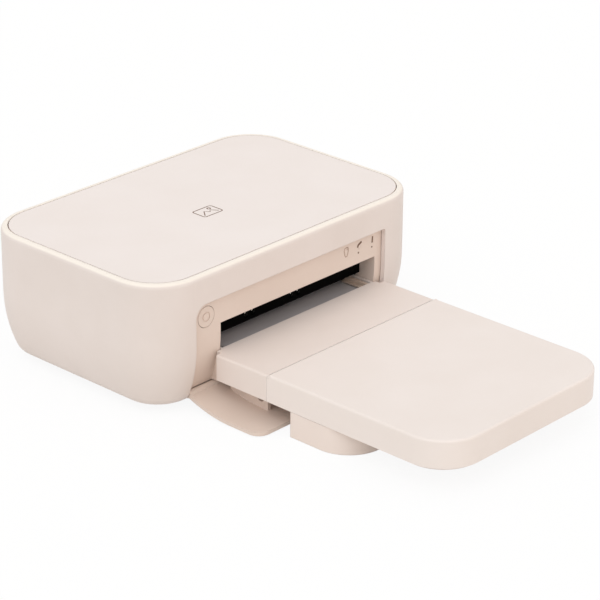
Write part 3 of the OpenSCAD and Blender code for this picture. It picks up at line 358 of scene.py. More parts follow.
def finish_frame():
    """Makes the finishes, and gives every node of the frame the one of its slot."""
    c, _, _ = settings()
    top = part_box("top_panel")[1].z
    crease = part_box("tray_lid")[1].y
    # painted highlight and painted shade: the housing's rim is painted paler and creamier than its sides, as
    # a highlight on its rounded top edge; the top panel's edge inside the seam is painted brown, as shade in
    # the gap; and the faces of the tray and its lid that look along Y are painted pale from the lid's joint
    # on, as light that lifts the shade inside the joint's gap
    gap_light_tone = (0.99, 0.975, 0.965)
    rim_highlight = ("Z", top - 0.0012, top - 0.0005, c.rim_highlight)
    seam = ("Z", top - 0.00035, top - 0.0006, c.seam)
    joint_gap_light = ("Y", crease - 0.0060, crease - 0.0055, gap_light_tone, "Y")
    moulded("shell_plastic", c.shell, 0.46, edge=0.45, painted_tints=(rim_highlight,))
    # the top panel carries painted shade on its edge inside the seam
    moulded("top_plastic", c.top, 0.40, 0.012, 0.3, 0.003, 0.3, painted_tints=(seam,))
    moulded("base_plastic", c.base, 0.5)
    moulded("fascia_plastic", c.fascia, 0.46, edge=0.3)
    moulded("door_plastic", c.door, 0.46, edge=0.35)
    moulded("button_plastic", c.fascia, 0.38, edge=0.2)
    moulded("light_plastic", c.fascia, 0.32, edge=0.1)
    # the tray and its lid carry painted light on their faces along Y at the joint, lifting the shade in the
    # gap
    moulded("tray_plastic", c.tray, 0.46, edge=0.05, painted_tints=(joint_gap_light,))
    moulded("lid_plastic", c.lid, 0.42, 0.012, 0.3, 0.003, 0.05, painted_tints=(joint_gap_light,))
    moulded("tray_foot_plastic", c.foot, 0.46, edge=0.8)
    moulded("guide_plastic", c.guide, 0.42, edge=0.25)
    moulded("black_plastic", c.dark, 0.55, 0.12, 0.25, 0.01, 0.2, shine=0.3)
    moulded("cartridge_plastic", (0.17, 0.17, 0.18), 0.42, 0.1, 0.25, 0.012, 0.3)
    moulded("white_nylon", (0.93, 0.93, 0.90), 0.34, 0.03, 0.6, 0.004, 0.12)
    rubber("foot_rubber", (0.33, 0.32, 0.31))
    rubber("roller_rubber", (0.12, 0.12, 0.12), 0.6)
    moulded("photo_paper", c.paper, 0.36, 0.015, 0.5, 0.002, 0.05)
    metal("sheet_steel", (0.80, 0.81, 0.82), 0.34, (1.0, 0.12, 1.0))
    metal("spring_steel", (0.74, 0.75, 0.76), 0.26)
    metal("shaft_steel", (0.86, 0.86, 0.87), 0.16, (12.0, 1.0, 1.0), 0.03)
    metal("pin_steel", (0.80, 0.80, 0.81), 0.22, (6.0, 1.0, 1.0), 0.04)
    metal("motor_steel", (0.70, 0.71, 0.72), 0.3, (8.0, 1.0, 1.0))
    metal("pinion_brass", (0.84, 0.72, 0.44), 0.25)
    metal("sink_aluminium", (0.80, 0.81, 0.82), 0.36, (0.1, 1.0, 1.0))
    moulded("head_ceramic", (0.52, 0.46, 0.40), 0.18, 0.05, 0.8, 0.001, 0.1, 0.5)
    wound("ribbon_film", (0.36, 0.14, 0.24))
    circuit("board_green")
    for part in frame["record"]["subparts"]:
        node = frame["nodes"][part["node"]]
        node.data.materials.clear()
        node.data.materials.append(bpy.data.materials[part["material_slot"]])
        node.data.polygons.foreach_set("material_index", np.zeros(len(node.data.polygons), np.int32))
    # the black guide behind the slot is flocked, so that it gives back next to no light
    flock = moulded("guide_flock", c.dark, 0.95, 0.3, 0.12, 0.03, 0.0, shine=0.02)
    frame["nodes"]["front_guide"].data.materials[0] = flock
    for name, tone in (("printed_marks", c.ink), ("pale_mark", c.pale),
                       ("printed_line", tuple(0.75 * x for x in c.paper))):
        moulded(name, tone, 0.5, 0.05, 0.3, 0.002, 0.0)
    moulded("chip_black", (0.10, 0.10, 0.11), 0.5, 0.08, 0.3, 0.004, 0.08)
    moulded("cable_white", (0.88, 0.88, 0.86), 0.4, 0.02, 0.5, 0.004, 0.0)
    film("dye_film")


# ---------------------------------------------------------------- shapes
def box_mm(node):
    """The low and the high corner of a node's box, in millimetres."""
    return tuple(p * 1000 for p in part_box(node))


def piece(name, verts, faces, body, finish, smooth=True, slot=None):
    """Puts arrays into a mesh object at the origin that rides on a body."""
    mesh = bpy.data.meshes.new(name)
    mesh.from_pydata(np.asarray(verts, float).tolist(), [], [list(f) for f in faces])
    mesh.update()
    mesh.polygons.foreach_set("use_smooth", np.full(len(mesh.polygons), smooth))
    obj = bpy.data.objects.new(name, mesh)
    bpy.context.scene.collection.objects.link(obj)
    mesh.materials.append(bpy.data.materials[finish])
    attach(obj, body)
    return obj


def grid_faces(rows, cols, wrap_rows=False, wrap_cols=True):
    """Quads over a rows by cols grid of points, numbered row by row."""
    i, j = np.meshgrid(np.arange(rows if wrap_rows else rows - 1),
                       np.arange(cols if wrap_cols else cols - 1), indexing="ij")
    a = i * cols + j
    b = i * cols + (j + 1) % cols
    c = ((i + 1) % rows) * cols + (j + 1) % cols
    d = ((i + 1) % rows) * cols + j
    return np.stack([a, b, c, d], -1).reshape(-1, 4).tolist()


def closed_faces(rows, cols, flip=False):
    """Quads over rows of points that close on themselves, with a flat face over the first row and
    one over the last; flip turns them all round."""
    faces = grid_faces(rows, cols)
    faces.append(list(range(cols))[::-1])
    faces.append([(rows - 1) * cols + k for k in range(cols)])
    return [face[::-1] for face in faces] if flip else faces


def join(parts):
    """Joins (verts, faces) pairs into one pair."""
    verts, faces, start = [], [], 0
    for v, f in parts:
        verts.append(np.asarray(v, float))
        faces += [[k + start for k in face] for face in f]
        start += len(v)
    return np.concatenate(verts), faces


def across(axis):
    """The unit vector along an axis, and two that are square to it and to each other."""
    w = np.asarray(axis, float) / np.linalg.norm(axis)
    u = np.cross(w, [0.0, 0.0, 1.0] if abs(w[2]) < 0.9 else [1.0, 0.0, 0.0])
    u /= np.linalg.norm(u)
    return w, u, np.cross(w, u)


def full_turn(count):
    """Angles of count points evenly round a circle."""
    return np.arange(count) * 2 * math.pi / count


def turned(profile, centre, axis, count=32):
    """Surface of revolution: point (r, h) of the profile goes to centre + h along the axis and r
    around it, at count angles; both ends close in a flat face. Lengths in millimetres."""
    profile = np.asarray(profile, float)
    w, u, v = across(axis)
    t = full_turn(count)
    ring = np.cos(t)[:, None] * u + np.sin(t)[:, None] * v
    verts = (np.asarray(centre, float) + profile[:, 1, None, None] * w
             + profile[:, 0, None, None] * ring[None]).reshape(-1, 3)
    return verts * MM, closed_faces(len(profile), count)


def turned_ring(profile, centre, axis, count=40):
    """Ring that is turned from a closed profile of (radius, height) points, run so that the height
    grows on the outside. Lengths in millimetres."""
    p = np.asarray(profile, float)
    area = np.sum(p[:, 0] * np.roll(p[:, 1], -1) - np.roll(p[:, 0], -1) * p[:, 1])
    verts, _ = turned(p if area > 0 else p[::-1], centre, axis, count)
    return verts, grid_faces(len(p), count, wrap_rows=True)


def helix_tube(centre, radius, wire, height, turns, per_turn=28, round_count=10):
    """Coil spring: the wire's centre climbs evenly over the middle turns and lies flat over the last
    three quarters of a turn at each end; a circle of the wire's radius is carried along it."""
    n = int(turns * per_turn) + 1
    s = np.linspace(0.0, turns, n)
    flat = 0.75
    rise = np.clip((s - flat) / (turns - 2 * flat), 0.0, 1.0)
    z = wire / 2 + rise * (height - wire)
    a = 2 * math.pi * s
    path = np.stack([radius * np.cos(a), radius * np.sin(a), z], -1)
    outward = np.stack([np.cos(a), np.sin(a), np.zeros(n)], -1)
    t = full_turn(round_count)
    up = np.array([0.0, 0.0, 1.0])
    verts = (np.asarray(centre, float) + path[:, None] + wire / 2 *
             (np.cos(t)[None, :, None] * outward[:, None] + np.sin(t)[None, :, None] * up))
    return verts.reshape(-1, 3), closed_faces(n, round_count, flip=True)


def slab(outline, low, high, place):
    """Closed flat plate: an outline run counter-clockwise in (u, v) between two heights; place maps
    an array of (u, v, h) into the frame."""
    outline = np.asarray(outline, float)
    n = len(outline)
    levels = np.concatenate([np.c_[outline, np.full(n, low)], np.c_[outline, np.full(n, high)]])
    return place(levels), closed_faces(2, n)


def stroke(points, width, closed=False):
    """The two side lines of a drawn line: each point moves half the width to both sides, square to
    the line from the point before it to the one after it."""
    p = np.asarray(points, float)
    before = np.roll(p, 1, 0)
    after = np.roll(p, -1, 0)
    if not closed:
        before[0], after[-1] = p[0], p[-1]
    along = after - before
    along /= np.linalg.norm(along, axis=1)[:, None]
    side = np.stack([-along[:, 1], along[:, 0]], -1) * width / 2
    return p - side, p + side


def drawn(lines, width, thick, place):
    """Raised line work: each line becomes a thin strip with a top, a bottom and two walls."""
    parts = []
    for points, closed in lines:
        left, right = stroke(points, width, closed)
        n = len(left)
        rows = np.stack([np.c_[left, np.zeros(n)], np.c_[right, np.zeros(n)],
                         np.c_[right, np.full(n, thick)], np.c_[left, np.full(n, thick)]], 1)
        faces = grid_faces(n, 4, wrap_rows=True) if closed else closed_faces(n, 4)
        parts.append((place(rows.reshape(-1, 3)), [f[::-1] for f in faces]))
    return join(parts)


def arc(cx, cy, r, a0, a1, n=20):
    """Points of an arc, angles in degrees."""
    t = np.radians(np.linspace(a0, a1, n))
    return np.stack([cx + r * np.cos(t), cy + r * np.sin(t)], -1)


def rounded(x0, y0, x1, y1, r, n=6):
    """Points of a rectangle with round corners, counter-clockwise."""
    return np.concatenate([arc(x1 - r, y1 - r, r, 0, 90, n), arc(x0 + r, y1 - r, r, 90, 180, n),
                           arc(x0 + r, y0 + r, r, 180, 270, n), arc(x1 - r, y0 + r, r, 270, 360, n)])


def lump(x0, y0, z0, x1, y1, z1, soft=0.3, corner=0.0):
    """Block with its edges eased: a rectangle with round corners, drawn in by soft at its two ends,
    stacked at four heights. Lengths in millimetres."""
    r = max(corner, 0.05)
    rings = []
    for pull, z in ((soft, z0), (0.0, z0 + soft), (0.0, z1 - soft), (soft, z1)):
        q = rounded(x0 + pull, y0 + pull, x1 - pull, y1 - pull, r, 3)
        rings.append(np.c_[q, np.full(len(q), z)])
    return np.concatenate(rings) * MM, closed_faces(4, len(rings[0]))


def band(path, x0, x1, thick):
    """Thin strip across X that follows a (Y, Z) path: each point moves half the thickness to both
    sides along the path's own normal. Lengths in millimetres."""
    a, b = stroke(path, thick)
    n = len(a)
    rows = np.stack([np.c_[np.full(n, x0), a], np.c_[np.full(n, x1), a],
                     np.c_[np.full(n, x1), b], np.c_[np.full(n, x0), b]], 1)
    return rows.reshape(-1, 3) * MM, closed_faces(n, 4)


def eased(points, rounds=3):
    """Rounds a line's corners: each round puts points at a quarter and three quarters of every
    stretch and keeps the two ends."""
    p = np.asarray(points, float)
    for _ in range(rounds):
        quarters = [0.75 * p[:-1] + 0.25 * p[1:], 0.25 * p[:-1] + 0.75 * p[1:]]
        q = np.stack(quarters, 1).reshape(-1, p.shape[1])
        p = np.concatenate([p[:1], q, p[-1:]])
    return p


def tube(points, radius, count=10):
    """Round wire along a line: at each point a circle stands square to the line, its first axis
    square to one slanted direction that no wire follows. Lengths in millimetres."""
    p = np.asarray(points, float)
    d = np.gradient(p, axis=0)
    d /= np.linalg.norm(d, axis=1)[:, None]
    slanted = [0.31, 0.17, 0.93]
    side = np.cross(d, slanted)
    side /= np.linalg.norm(side, axis=1)[:, None]
    up = np.cross(side, d)
    t = full_turn(count)
    circle = np.cos(t)[None, :, None] * side[:, None] + np.sin(t)[None, :, None] * up[:, None]
    verts = p[:, None] + radius * circle
    return verts.reshape(-1, 3) * MM, closed_faces(len(p), count, flip=True)


def star(count, tip, root):
    """Outline of a star wheel: the radius swings from root to tip and back once per tooth."""
    t = np.arange(2 * count) * math.pi / count
    r = np.where(np.arange(2 * count) % 2 == 0, tip, root)
    return np.stack([r * np.cos(t), r * np.sin(t)], -1)


def screw_head(centre, axis, radius, height=1.2, rings=11, count=32):
    """Pan-head screw. At the share s of the radius the head stands height (1 - 0.45 s^3) high, less
    a cross recess, which is deep where one of the two level coordinates is small and the other
    within the cross's length. Lengths in millimetres."""
    fall, depth = 0.45, 0.62
    arm_half, arm_ramp, reach_end, reach_ramp = 0.17, 0.05, 0.62, 0.12
    w, u, v = across(axis)
    t = full_turn(count)
    share = np.r_[1.0, np.linspace(1.0, 0.02, rings)]
    a, b = share[:, None] * np.cos(t), share[:, None] * np.sin(t)
    dome = height * (1 - fall * share[:, None] ** 3) * np.ones_like(a)
    arm = np.minimum(np.abs(a), np.abs(b))
    reach = np.maximum(np.abs(a), np.abs(b))
    dome -= (depth * height * np.clip((arm_half - arm) / arm_ramp, 0, 1)
             * np.clip((reach_end - reach) / reach_ramp, 0, 1))
    dome[0] = 0.0
    level = a[..., None] * u + b[..., None] * v
    verts = np.asarray(centre, float) + radius * level + dome[..., None] * w
    return verts.reshape(-1, 3) * MM, closed_faces(len(share), count)


def on_right(y, z, x):
    """Places (u, v, h) on an upright plane facing +X, u along Y and v up."""
    return lambda p: np.stack([x + p[:, 2], y + p[:, 0], z + p[:, 1]], -1)


def on_front(x, z, y):
    """Places (u, v, h) on an upright plane facing the front, h standing out of it."""
    return lambda p: np.stack([x + p[:, 0], y - p[:, 2], z + p[:, 1]], -1)


def on_top(x, y, z):
    """Places (u, v, h) on a level plane."""
    return lambda p: np.stack([x + p[:, 0], y + p[:, 1], z + p[:, 2]], -1)


# ---------------------------------------------------------------- operators
class PrinterFinish(bpy.types.Operator):
    """Gives every part of the frame its moulded, metal or rubber finish"""
    bl_idname = "printer.finish"
    bl_label = "Finish the frame"

    def execute(self, context):
        finish_frame()
        return {"FINISHED"}


class PrinterMarks(bpy.types.Operator):
    """Prints three plain marks beside the slot and a plain picture mark on the top panel"""
    bl_idname = "printer.marks"
    bl_label = "Printed marks"

    def execute(self, context):
        _, s, _ = settings()
        w = s.mark_line
        lo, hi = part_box("status_lights")
        inset, thick = 0.0011, 0.00006
        y, z = lo.y, (lo.z + hi.z) / 2
        left, middle, right = lo.x + inset, (lo.x + hi.x) / 2, hi.x - inset
        sheet = eased([[-1.8, 2.0], [-0.8, -2.8], [1.0, -2.6], [1.9, 1.2], [1.1, 2.4], [-1.8, 2.0]], 1)
        fold = np.array([[0.8, 2.2], [0.7, 1.2], [1.7, 1.0]])
        sweep = eased([[-1.3, -0.3], [-0.9, 0.9], [0.5, 1.6], [1.7, 2.2]], 2)
        bar = np.array([[0.15, 2.6], [0.05, 1.2], [-0.1, -0.9]])
        # each mark: its lines as (points, closed, width), and a dot as (x, y, radius)
        for name, x, ink, lines, dot in (
                ("mark_sheet", left, "pale_mark", [(sheet[1:-1], True, w), (fold, False, w * 0.8)], None),
                ("mark_ribbon", middle, "printed_marks", [(sweep, False, w * 2.6)], (-0.6, -3.3, 0.52)),
                ("mark_alert", right, "printed_marks", [(bar, False, w * 2.2)], (-0.3, -3.2, 0.48))):
            parts = [drawn([(points * MM, closed)], width, thick, on_front(x, z, y))
                     for points, closed, width in lines]
            if dot:
                parts.append(slab(arc(*dot, 0, 342, 20) * MM, 0.0, thick, on_front(x, z, y)))
            piece(name, *join(parts), "housing", ink, False, "light_plastic")
        # the picture mark: a frame, two hills and a round sun, as shares of its width
        e = s.emblem
        _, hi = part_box("top_panel")
        hills = np.array([[-0.38 * e, -0.24 * e], [-0.12 * e, 0.08 * e], [0.04 * e, -0.1 * e],
                          [0.17 * e, 0.04 * e], [0.38 * e, -0.24 * e]])
        lines = [(rounded(-0.5 * e, -0.36 * e, 0.5 * e, 0.36 * e, 0.1 * e), True), (hills, False),
                 (arc(0.24 * e, 0.18 * e, 0.07 * e, 0, 345, 18), True)]
        x, y, sunk, thick = -0.0063, -0.0075, 0.00001, 0.00005
        mark = drawn(lines, w * 1.3, thick, on_top(x, y, hi.z - sunk))
        piece("top_mark", *mark, "housing", "printed_marks", False, "top_plastic")
        return {"FINISHED"}


class PrinterSheets(bpy.types.Operator):
    """Stacks the photo paper sheet by sheet, with its tear-off lines"""
    bl_idname = "printer.sheets"
    bl_label = "Photo paper"

    def execute(self, context):
        _, s, _ = settings()
        lo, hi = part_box("paper_stack")
        count = max(2, round((hi.z - lo.z) / s.sheet))
        pitch = (hi.z - lo.z) / count
        edge, corner, unevenness, paper_share = 0.0002, 0.0012, 0.00018, 0.88
        outline = rounded(lo.x + edge, lo.y + edge, hi.x - edge, hi.y - edge, corner, 4)
        parts = []
        for k in range(count):
            slip = np.array([math.sin(2.4 * k), math.sin(1.7 * k + 1.0)]) * unevenness
            if k == count - 1:
                slip *= 0.0
            low, high = lo.z + k * pitch, lo.z + (k + paper_share) * pitch
            parts.append(slab(outline + slip, low, high, lambda p: p))
        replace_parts(piece("paper_sheets", *join(parts), "tray", "photo_paper", False), "paper_stack")
        dash, dash_pitch, width, thick = 0.0018, 0.003, 0.00018, 0.00002
        front_strip, rear_strip = 0.010, 0.008
        rows = [(np.array([[x, y], [x + dash, y]]), False)
                for y in (lo.y + front_strip, hi.y - rear_strip)
                for x in np.arange(lo.x + 0.0015, hi.x - 0.002, dash_pitch)]
        lines = drawn(rows, width, thick, on_top(0.0, 0.0, hi.z - (1 - paper_share) * pitch))
        piece("tear_lines", *lines, "tray", "printed_line", False, "photo_paper")
        return {"FINISHED"}


class PrinterRibbon(bpy.types.Operator):
    """Threads the dye film through the cartridge and moulds the cartridge's grip and end rings"""
    bl_idname = "printer.ribbon"
    bl_label = "Ribbon cartridge"

    def execute(self, context):
        thick = 0.07
        lo, hi = box_mm("ribbon_film")
        supply_lo, supply_hi = box_mm("supply_spool")
        takeup_lo, takeup_hi = box_mm("takeup_spool")
        z = (supply_lo.z + supply_hi.z) / 2
        supply_y, supply_r = (supply_lo.y + supply_hi.y) / 2, (supply_hi.z - supply_lo.z) / 2 + thick
        takeup_y, takeup_r = (takeup_lo.y + takeup_hi.y) / 2, (takeup_hi.z - takeup_lo.z) / 2 + thick
        # round the supply roll, down to the head, level under it, and up round the other roll
        nip = lo.z + 0.06
        corner = nip + 1.9
        wrap = arc(supply_y, z, supply_r, 100, 0, 31)
        rise = arc(takeup_y, z, takeup_r, 180, 80, 31)
        web = eased([wrap[-1], [-5.6, corner], [-5.05, nip], [-3.4, nip], [9.4, nip], [11.05, nip],
                     [11.75, corner], rise[0]], 3)
        path = np.concatenate([wrap[:-1], web, rise[1:]])
        film_web = piece("dye_film_web", *band(path, lo.x, hi.x, thick), "cartridge", "dye_film", True,
                         "ribbon_film")
        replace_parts(film_web, "ribbon_film")
        _, end = box_mm("ribbon_cartridge")
        boss = end.x - 6.0
        ring = [(5.9, 0.0), (6.0, 0.45), (6.8, 0.45), (6.9, 0.0)]
        parts = [turned_ring(ring, (boss, y, z), (1, 0, 0)) for y in (supply_y, takeup_y)]
        # four level bars to hold the cartridge by
        middle, half, bar, bar_pitch = (supply_y + takeup_y) / 2, 7.0, 0.7, 1.25
        for k in range(4):
            low = z + 2.2 + k * bar_pitch
            parts.append(lump(end.x - 0.3, middle - half, low,
                              end.x + 0.4, middle + half, low + bar, 0.15, 0.2))
        piece("cartridge_grip", *join(parts), "cartridge", "cartridge_plastic")
        return {"FINISHED"}


class PrinterWheels(bpy.types.Operator):
    """Cuts the four star wheels at the paper's way out, with their white hubs and thin axle"""
    bl_idname = "printer.wheels"
    bl_label = "Exit star wheels"

    def execute(self, context):
        lo, hi = box_mm("exit_wheels")
        middle, y, z = (lo.x + hi.x) / 2, (lo.y + hi.y) / 2, (lo.z + hi.z) / 2
        r = (hi.z - lo.z) / 2
        pair, gap, teeth, root, half = 16.5, 2.5, 12, 0.72, 0.22
        hub = [(0.3, -0.85), (0.8, -0.85), (0.98, -0.7), (0.98, 0.7), (0.8, 0.85), (0.3, 0.85)]
        axle = [(0.1, lo.x), (0.45, lo.x), (0.58, lo.x + 0.15),
                (0.58, hi.x - 0.15), (0.45, hi.x), (0.1, hi.x)]
        stars, hubs = [], []
        for x in [middle + i * pair + k * gap for i in (-1, 1) for k in (-1, 1)]:
            stars.append(slab(star(teeth, r, r * root) * MM, -half * MM, half * MM,
                              on_right(y * MM, z * MM, x * MM)))
            hubs.append(turned(hub, (x, y, z), (1, 0, 0), 20))
        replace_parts(piece("exit_stars", *join(stars), "exit_wheels", "black_plastic", False), "exit_wheels")
        piece("exit_hubs", *join(hubs), "exit_wheels", "white_nylon")
        piece("exit_axle", *turned(axle, (0, y, z), (1, 0, 0), 16), "exit_wheels", "black_plastic")
        return {"FINISHED"}


class PrinterSprings(bpy.types.Operator):
    """Winds the two coil springs under the lift plate"""
    bl_idname = "printer.springs"
    bl_label = "Lift springs"

    def execute(self, context):
        _, s, _ = settings()
        lo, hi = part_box("lift_springs")
        r = (hi.y - lo.y) / 2
        coils = [helix_tube((x, (lo.y + hi.y) / 2, lo.z), r - s.spring_wire / 2, s.spring_wire,
                            hi.z - lo.z, s.spring_turns) for x in (lo.x + r, hi.x - r)]
        obj = piece("lift_coils", *join(coils), "tray", "spring_steel")
        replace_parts(obj, "lift_springs")
        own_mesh(obj)
        return {"FINISHED"}


class PrinterScrews(bpy.types.Operator):
    """Sets the cross-head screws of the base, the gear plate and the two boards"""
    bl_idname = "printer.screws"
    bl_label = "Screws"

    def execute(self, context):
        _, s, _ = settings()
        r = s.screw_head * 1000
        lo, _ = box_mm("base_plate")
        collar = [(r + 0.15, 0.0), (r + 0.25, 0.5), (r + 0.9, 0.5), (r + 1.3, 0.0)]
        sunk, head = 0.35, 0.75
        under = []
        for x, y in ((-70, -14), (-70, 14), (70, -14), (70, 14), (0, -38), (0, 38)):
            under.append(screw_head((x, y, lo.z + sunk), (0, 0, -1), r, head))
            under.append(turned_ring(collar, (x, y, lo.z), (0, 0, -1)))
        piece("base_screws", *join(under), "housing", "pin_steel")
        plate_lo, plate_hi = box_mm("gear_plate")
        inner, small_r, small_head = [], 1.8, 1.0
        for y, z in ((plate_lo.y + 5, plate_lo.z + 5), (plate_hi.y - 2.4, plate_lo.z + 2.4),
                     (-8.0, plate_hi.z - 5)):
            inner.append(screw_head((plate_lo.x, y, z), (-1, 0, 0), 2.0, 1.1))
        board_lo, _ = box_mm("main_board")
        for y in (-30, 30):
            place = (board_lo.x + 4.5, y, board_lo.z + BOARD_FACE)
            inner.append(screw_head(place, (0, 0, 1), small_r, small_head))
        front_lo, front_hi = box_mm("front_board")
        for x in (front_lo.x + 22, 2.8, 32.2):
            inner.append(screw_head((x, front_hi.y, front_hi.z - 2.3), (0, 1, 0), small_r, small_head))
        piece("inner_screws", *join(inner), "housing", "pin_steel")
        return {"FINISHED"}


class PrinterMotors(bpy.types.Operator):
    """Closes the two motors with their end caps and terminals, and leads their wires to the front board"""
    bl_idname = "printer.motors"
    bl_label = "Motor ends and wires"

    def execute(self, context):
        board_lo, board_hi = box_mm("front_board")
        wire, apart = 0.6, 0.7
        tab_end, tab_half, tab_thick, tab_root = 3.4, 1.1, 0.3, 0.3
        # where each motor's wires end at the plug, and the points that they pass on the way
        routes = (
            ("drive_motor", 50.2, [(-90.0, 4, 33), (-87.8, -14, 47.5), (-84.5, -33, 50), (-77, -44.6, 50.4)]),
            ("pickup_motor", 47.6, [(-88.6, -33, 41), (-85, -40, 45), (-77.5, -45.2, 47.4)]))
        caps, tabs, wires = [], [], []
        for node, end_z, route in routes:
            lo, hi = box_mm(node)
            y, z, r = (lo.y + hi.y) / 2, (lo.z + hi.z) / 2, (hi.z - lo.z) / 2
            end = [(r * 0.92, 0.0), (r * 0.92, 0.45), (r * 0.88, 0.65), (r * 0.36, 0.65), (r * 0.34, 1.5),
                   (r * 0.30, 1.8), (0.05, 1.8)]
            caps.append(turned(end, (lo.x, y, z), (-1, 0, 0), 40))
            for k in (-1, 1):
                side = y + k * r * 0.6
                tabs.append(lump(lo.x - tab_end, side - tab_half, z - tab_thick,
                                 lo.x - tab_root, side + tab_half, z + tab_thick, 0.08, 0.3))
                way = [np.array(point, float) + (0.0, 0.0, apart * k) for point in route]
                last = np.array([board_lo.x + 3.0, board_hi.y + 2.5, end_z + apart * k])
                wires.append(tube(eased([(lo.x - 3.0, side, z), (lo.x - 3.6, side - 1.5, z + 1.5), *way,
                                         last + [-4.5, 0.6, 0.0], last], 3), wire))
        plug = lump(board_lo.x + 0.3, board_hi.y - 0.02, 46.2,
                    board_lo.x + 5.9, board_hi.y + 2.7, 51.8, 0.3, 0.3)
        piece("motor_caps", *join(caps), "housing", "chip_black", True, "motor_steel")
        piece("motor_tabs", *join(tabs), "housing", "pinion_brass", False)
        piece("motor_wires", *join(wires), "housing", "chip_black", True, "black_plastic")
        piece("motor_plug", *plug, "housing", "white_nylon", False)
        return {"FINISHED"}


def chip_legs(x, z):
    """Two rows of eleven legs of a chip, on both sides of it."""
    leg, leg_pitch = 0.45, 1.08
    return [lump(x0, y, z - 0.02, x1, y + leg, z + 0.5, 0.08, 0.1)
            for y in (-19.4 + k * leg_pitch for k in range(11))
            for x0, x1 in ((x + 1.7, x + 3.2), (x + 10.8, x + 12.3))]


def small_parts(x, z):
    """Twelve small parts in four rows of three, as (bodies, metal ends)."""
    bodies, ends = [], []
    long, wide = 0.9, 0.8
    for k in range(12):
        left, y = x + 1.8 + 1.9 * (k % 3), 20.0 + 1.6 * (k // 3)
        bodies.append(lump(left, y, z, left + long, y + wide, z + 0.5, 0.08, 0.08))
        for x0, x1 in ((left - 0.25, left + 0.02), (left + 0.88, left + 1.15)):
            ends.append(lump(x0, y, z, x1, y + wide, z + 0.52, 0.05, 0.06))
    return bodies, ends


def capacitor(x, y, z):
    """A capacitor's sleeve and the metal disc in its top."""
    sleeve = [(3.04, 0.05), (3.04, 6.7), (2.8, 7.04), (2.45, 7.04), (2.4, 7.01), (0.05, 7.01)]
    disc = [(2.38, 7.0), (2.38, 7.03), (1.9, 7.05), (0.05, 7.05)]
    return [turned(profile, (x, y, z), (0, 0, 1), 32) for profile in (sleeve, disc)]


def socket(x0, y0, x1, y1, z):
    """An open plug socket, as (floor and four walls, six pins)."""
    wall, pin = 0.8, 0.25
    shell = [lump(x0, y0, z, x1, y1, z + 1.2, 0.15, 0.3)]
    for a, b, c, d in ((x0, y0, x1, y0 + wall), (x0, y1 - wall, x1, y1),
                       (x0, y0, x0 + wall, y1), (x1 - wall, y0, x1, y1)):
        shell.append(lump(a, b, z + 1.0, c, d, z + 5.0, 0.12, 0.15))
    y = (y0 + y1) / 2
    places = [x0 + 2.0 + k * (x1 - x0 - 4.0) / 5 for k in range(6)]
    pins = [lump(x - pin, y - pin, z + 1.0, x + pin, y + pin, z + 4.2, 0.1, 0.1) for x in places]
    return shell, pins


class PrinterBoards(bpy.types.Operator):
    """Fits the parts of the two circuit boards and the cable between them"""
    bl_idname = "printer.boards"
    bl_label = "Board parts"

    def execute(self, context):
        lo, hi = box_mm("main_board")
        x, z = lo.x, lo.z + BOARD_FACE
        pins = chip_legs(x, z)
        chips, ends = small_parts(x, z)
        pins += ends
        # the large chip between its legs, two coils, two capacitors and the clock's metal can
        chips.append(lump(x + 2.95, -20.05, z, x + 11.05, -7.95, z + 1.7, 0.12, 0.1))
        for y in (-4.0, 9.0):
            chips.append(lump(x + 1.5, y, z, x + 6.5, y + 5.0, z + 3.2, 0.4, 1.5))
        for y in (4.0, 14.0):
            sleeve, disc = capacitor(hi.x - 5.0, y, z)
            chips.append(sleeve)
            pins.append(disc)
        pins.append(lump(x + 5, -27.0, z, x + 9, -22.5, z + 1.4, 0.3, 1.5))
        plugs = []
        for y0, y1 in ((-37.0, -32.5), (32.5, 37.5)):
            shell, contacts = socket(x + 1.0, y0, hi.x - 1.0, y1, z)
            plugs += shell
            pins += contacts
        # five small parts and a plug on the front board
        _, front = box_mm("front_board")
        for k in range(5):
            left = 40.0 + 3.0 * k
            chips.append(lump(left, front.y - 0.02, 48.0, left + 1.6, front.y + 0.5, 48.8, 0.08, 0.08))
        plugs.append(lump(front.x - 9.0, front.y - 0.02, 46.0, front.x - 2.0, front.y + 2.2, 50.5, 0.3, 0.3))
        piece("board_chips", *join(chips), "housing", "chip_black", False, "board_green")
        piece("board_pins", *join(pins), "housing", "pin_steel", False)
        piece("board_plugs", *join(plugs), "housing", "white_nylon", False)
        line = eased([(front.x - 3.0, front.y + 1.2, 48.2), (68.6, front.y + 1.2, 47.0), (70.5, -48.0, 34.0),
                      (73.0, -42.0, 26.0), (76.0, -36.5, 24.0), (76.0, -34.9, 19.4)], 3)
        piece("board_cable", *tube(line, 0.9, 12), "housing", "cable_white", True, "white_nylon")
        return {"FINISHED"}


class PrinterFeet(bpy.types.Operator):
    """Turns the four rubber feet with their grip rings"""
    bl_idname = "printer.feet"
    bl_label = "Rubber feet"

    def execute(self, context):
        lo, hi = box_mm("rubber_feet")
        r = 6.0
        foot = [(0.05, 0.45), (1.9, 0.45), (2.2, 0.0), (3.0, 0.0), (3.3, 0.4), (3.7, 0.4), (4.0, 0.0),
                (4.7, 0.0), (5.3, 0.15), (r - 0.1, 0.8), (r, 1.4), (r, hi.z - 0.1), (r - 0.1, hi.z),
                (0.05, hi.z)]
        parts = [turned(foot, (x, y, 0.0), (0, 0, 1), 48)
                 for x in (lo.x + r, hi.x - r) for y in (lo.y + r, hi.y - r)]
        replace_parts(piece("foot_pads", *join(parts), "housing", "foot_rubber"), "rubber_feet")
        return {"FINISHED"}


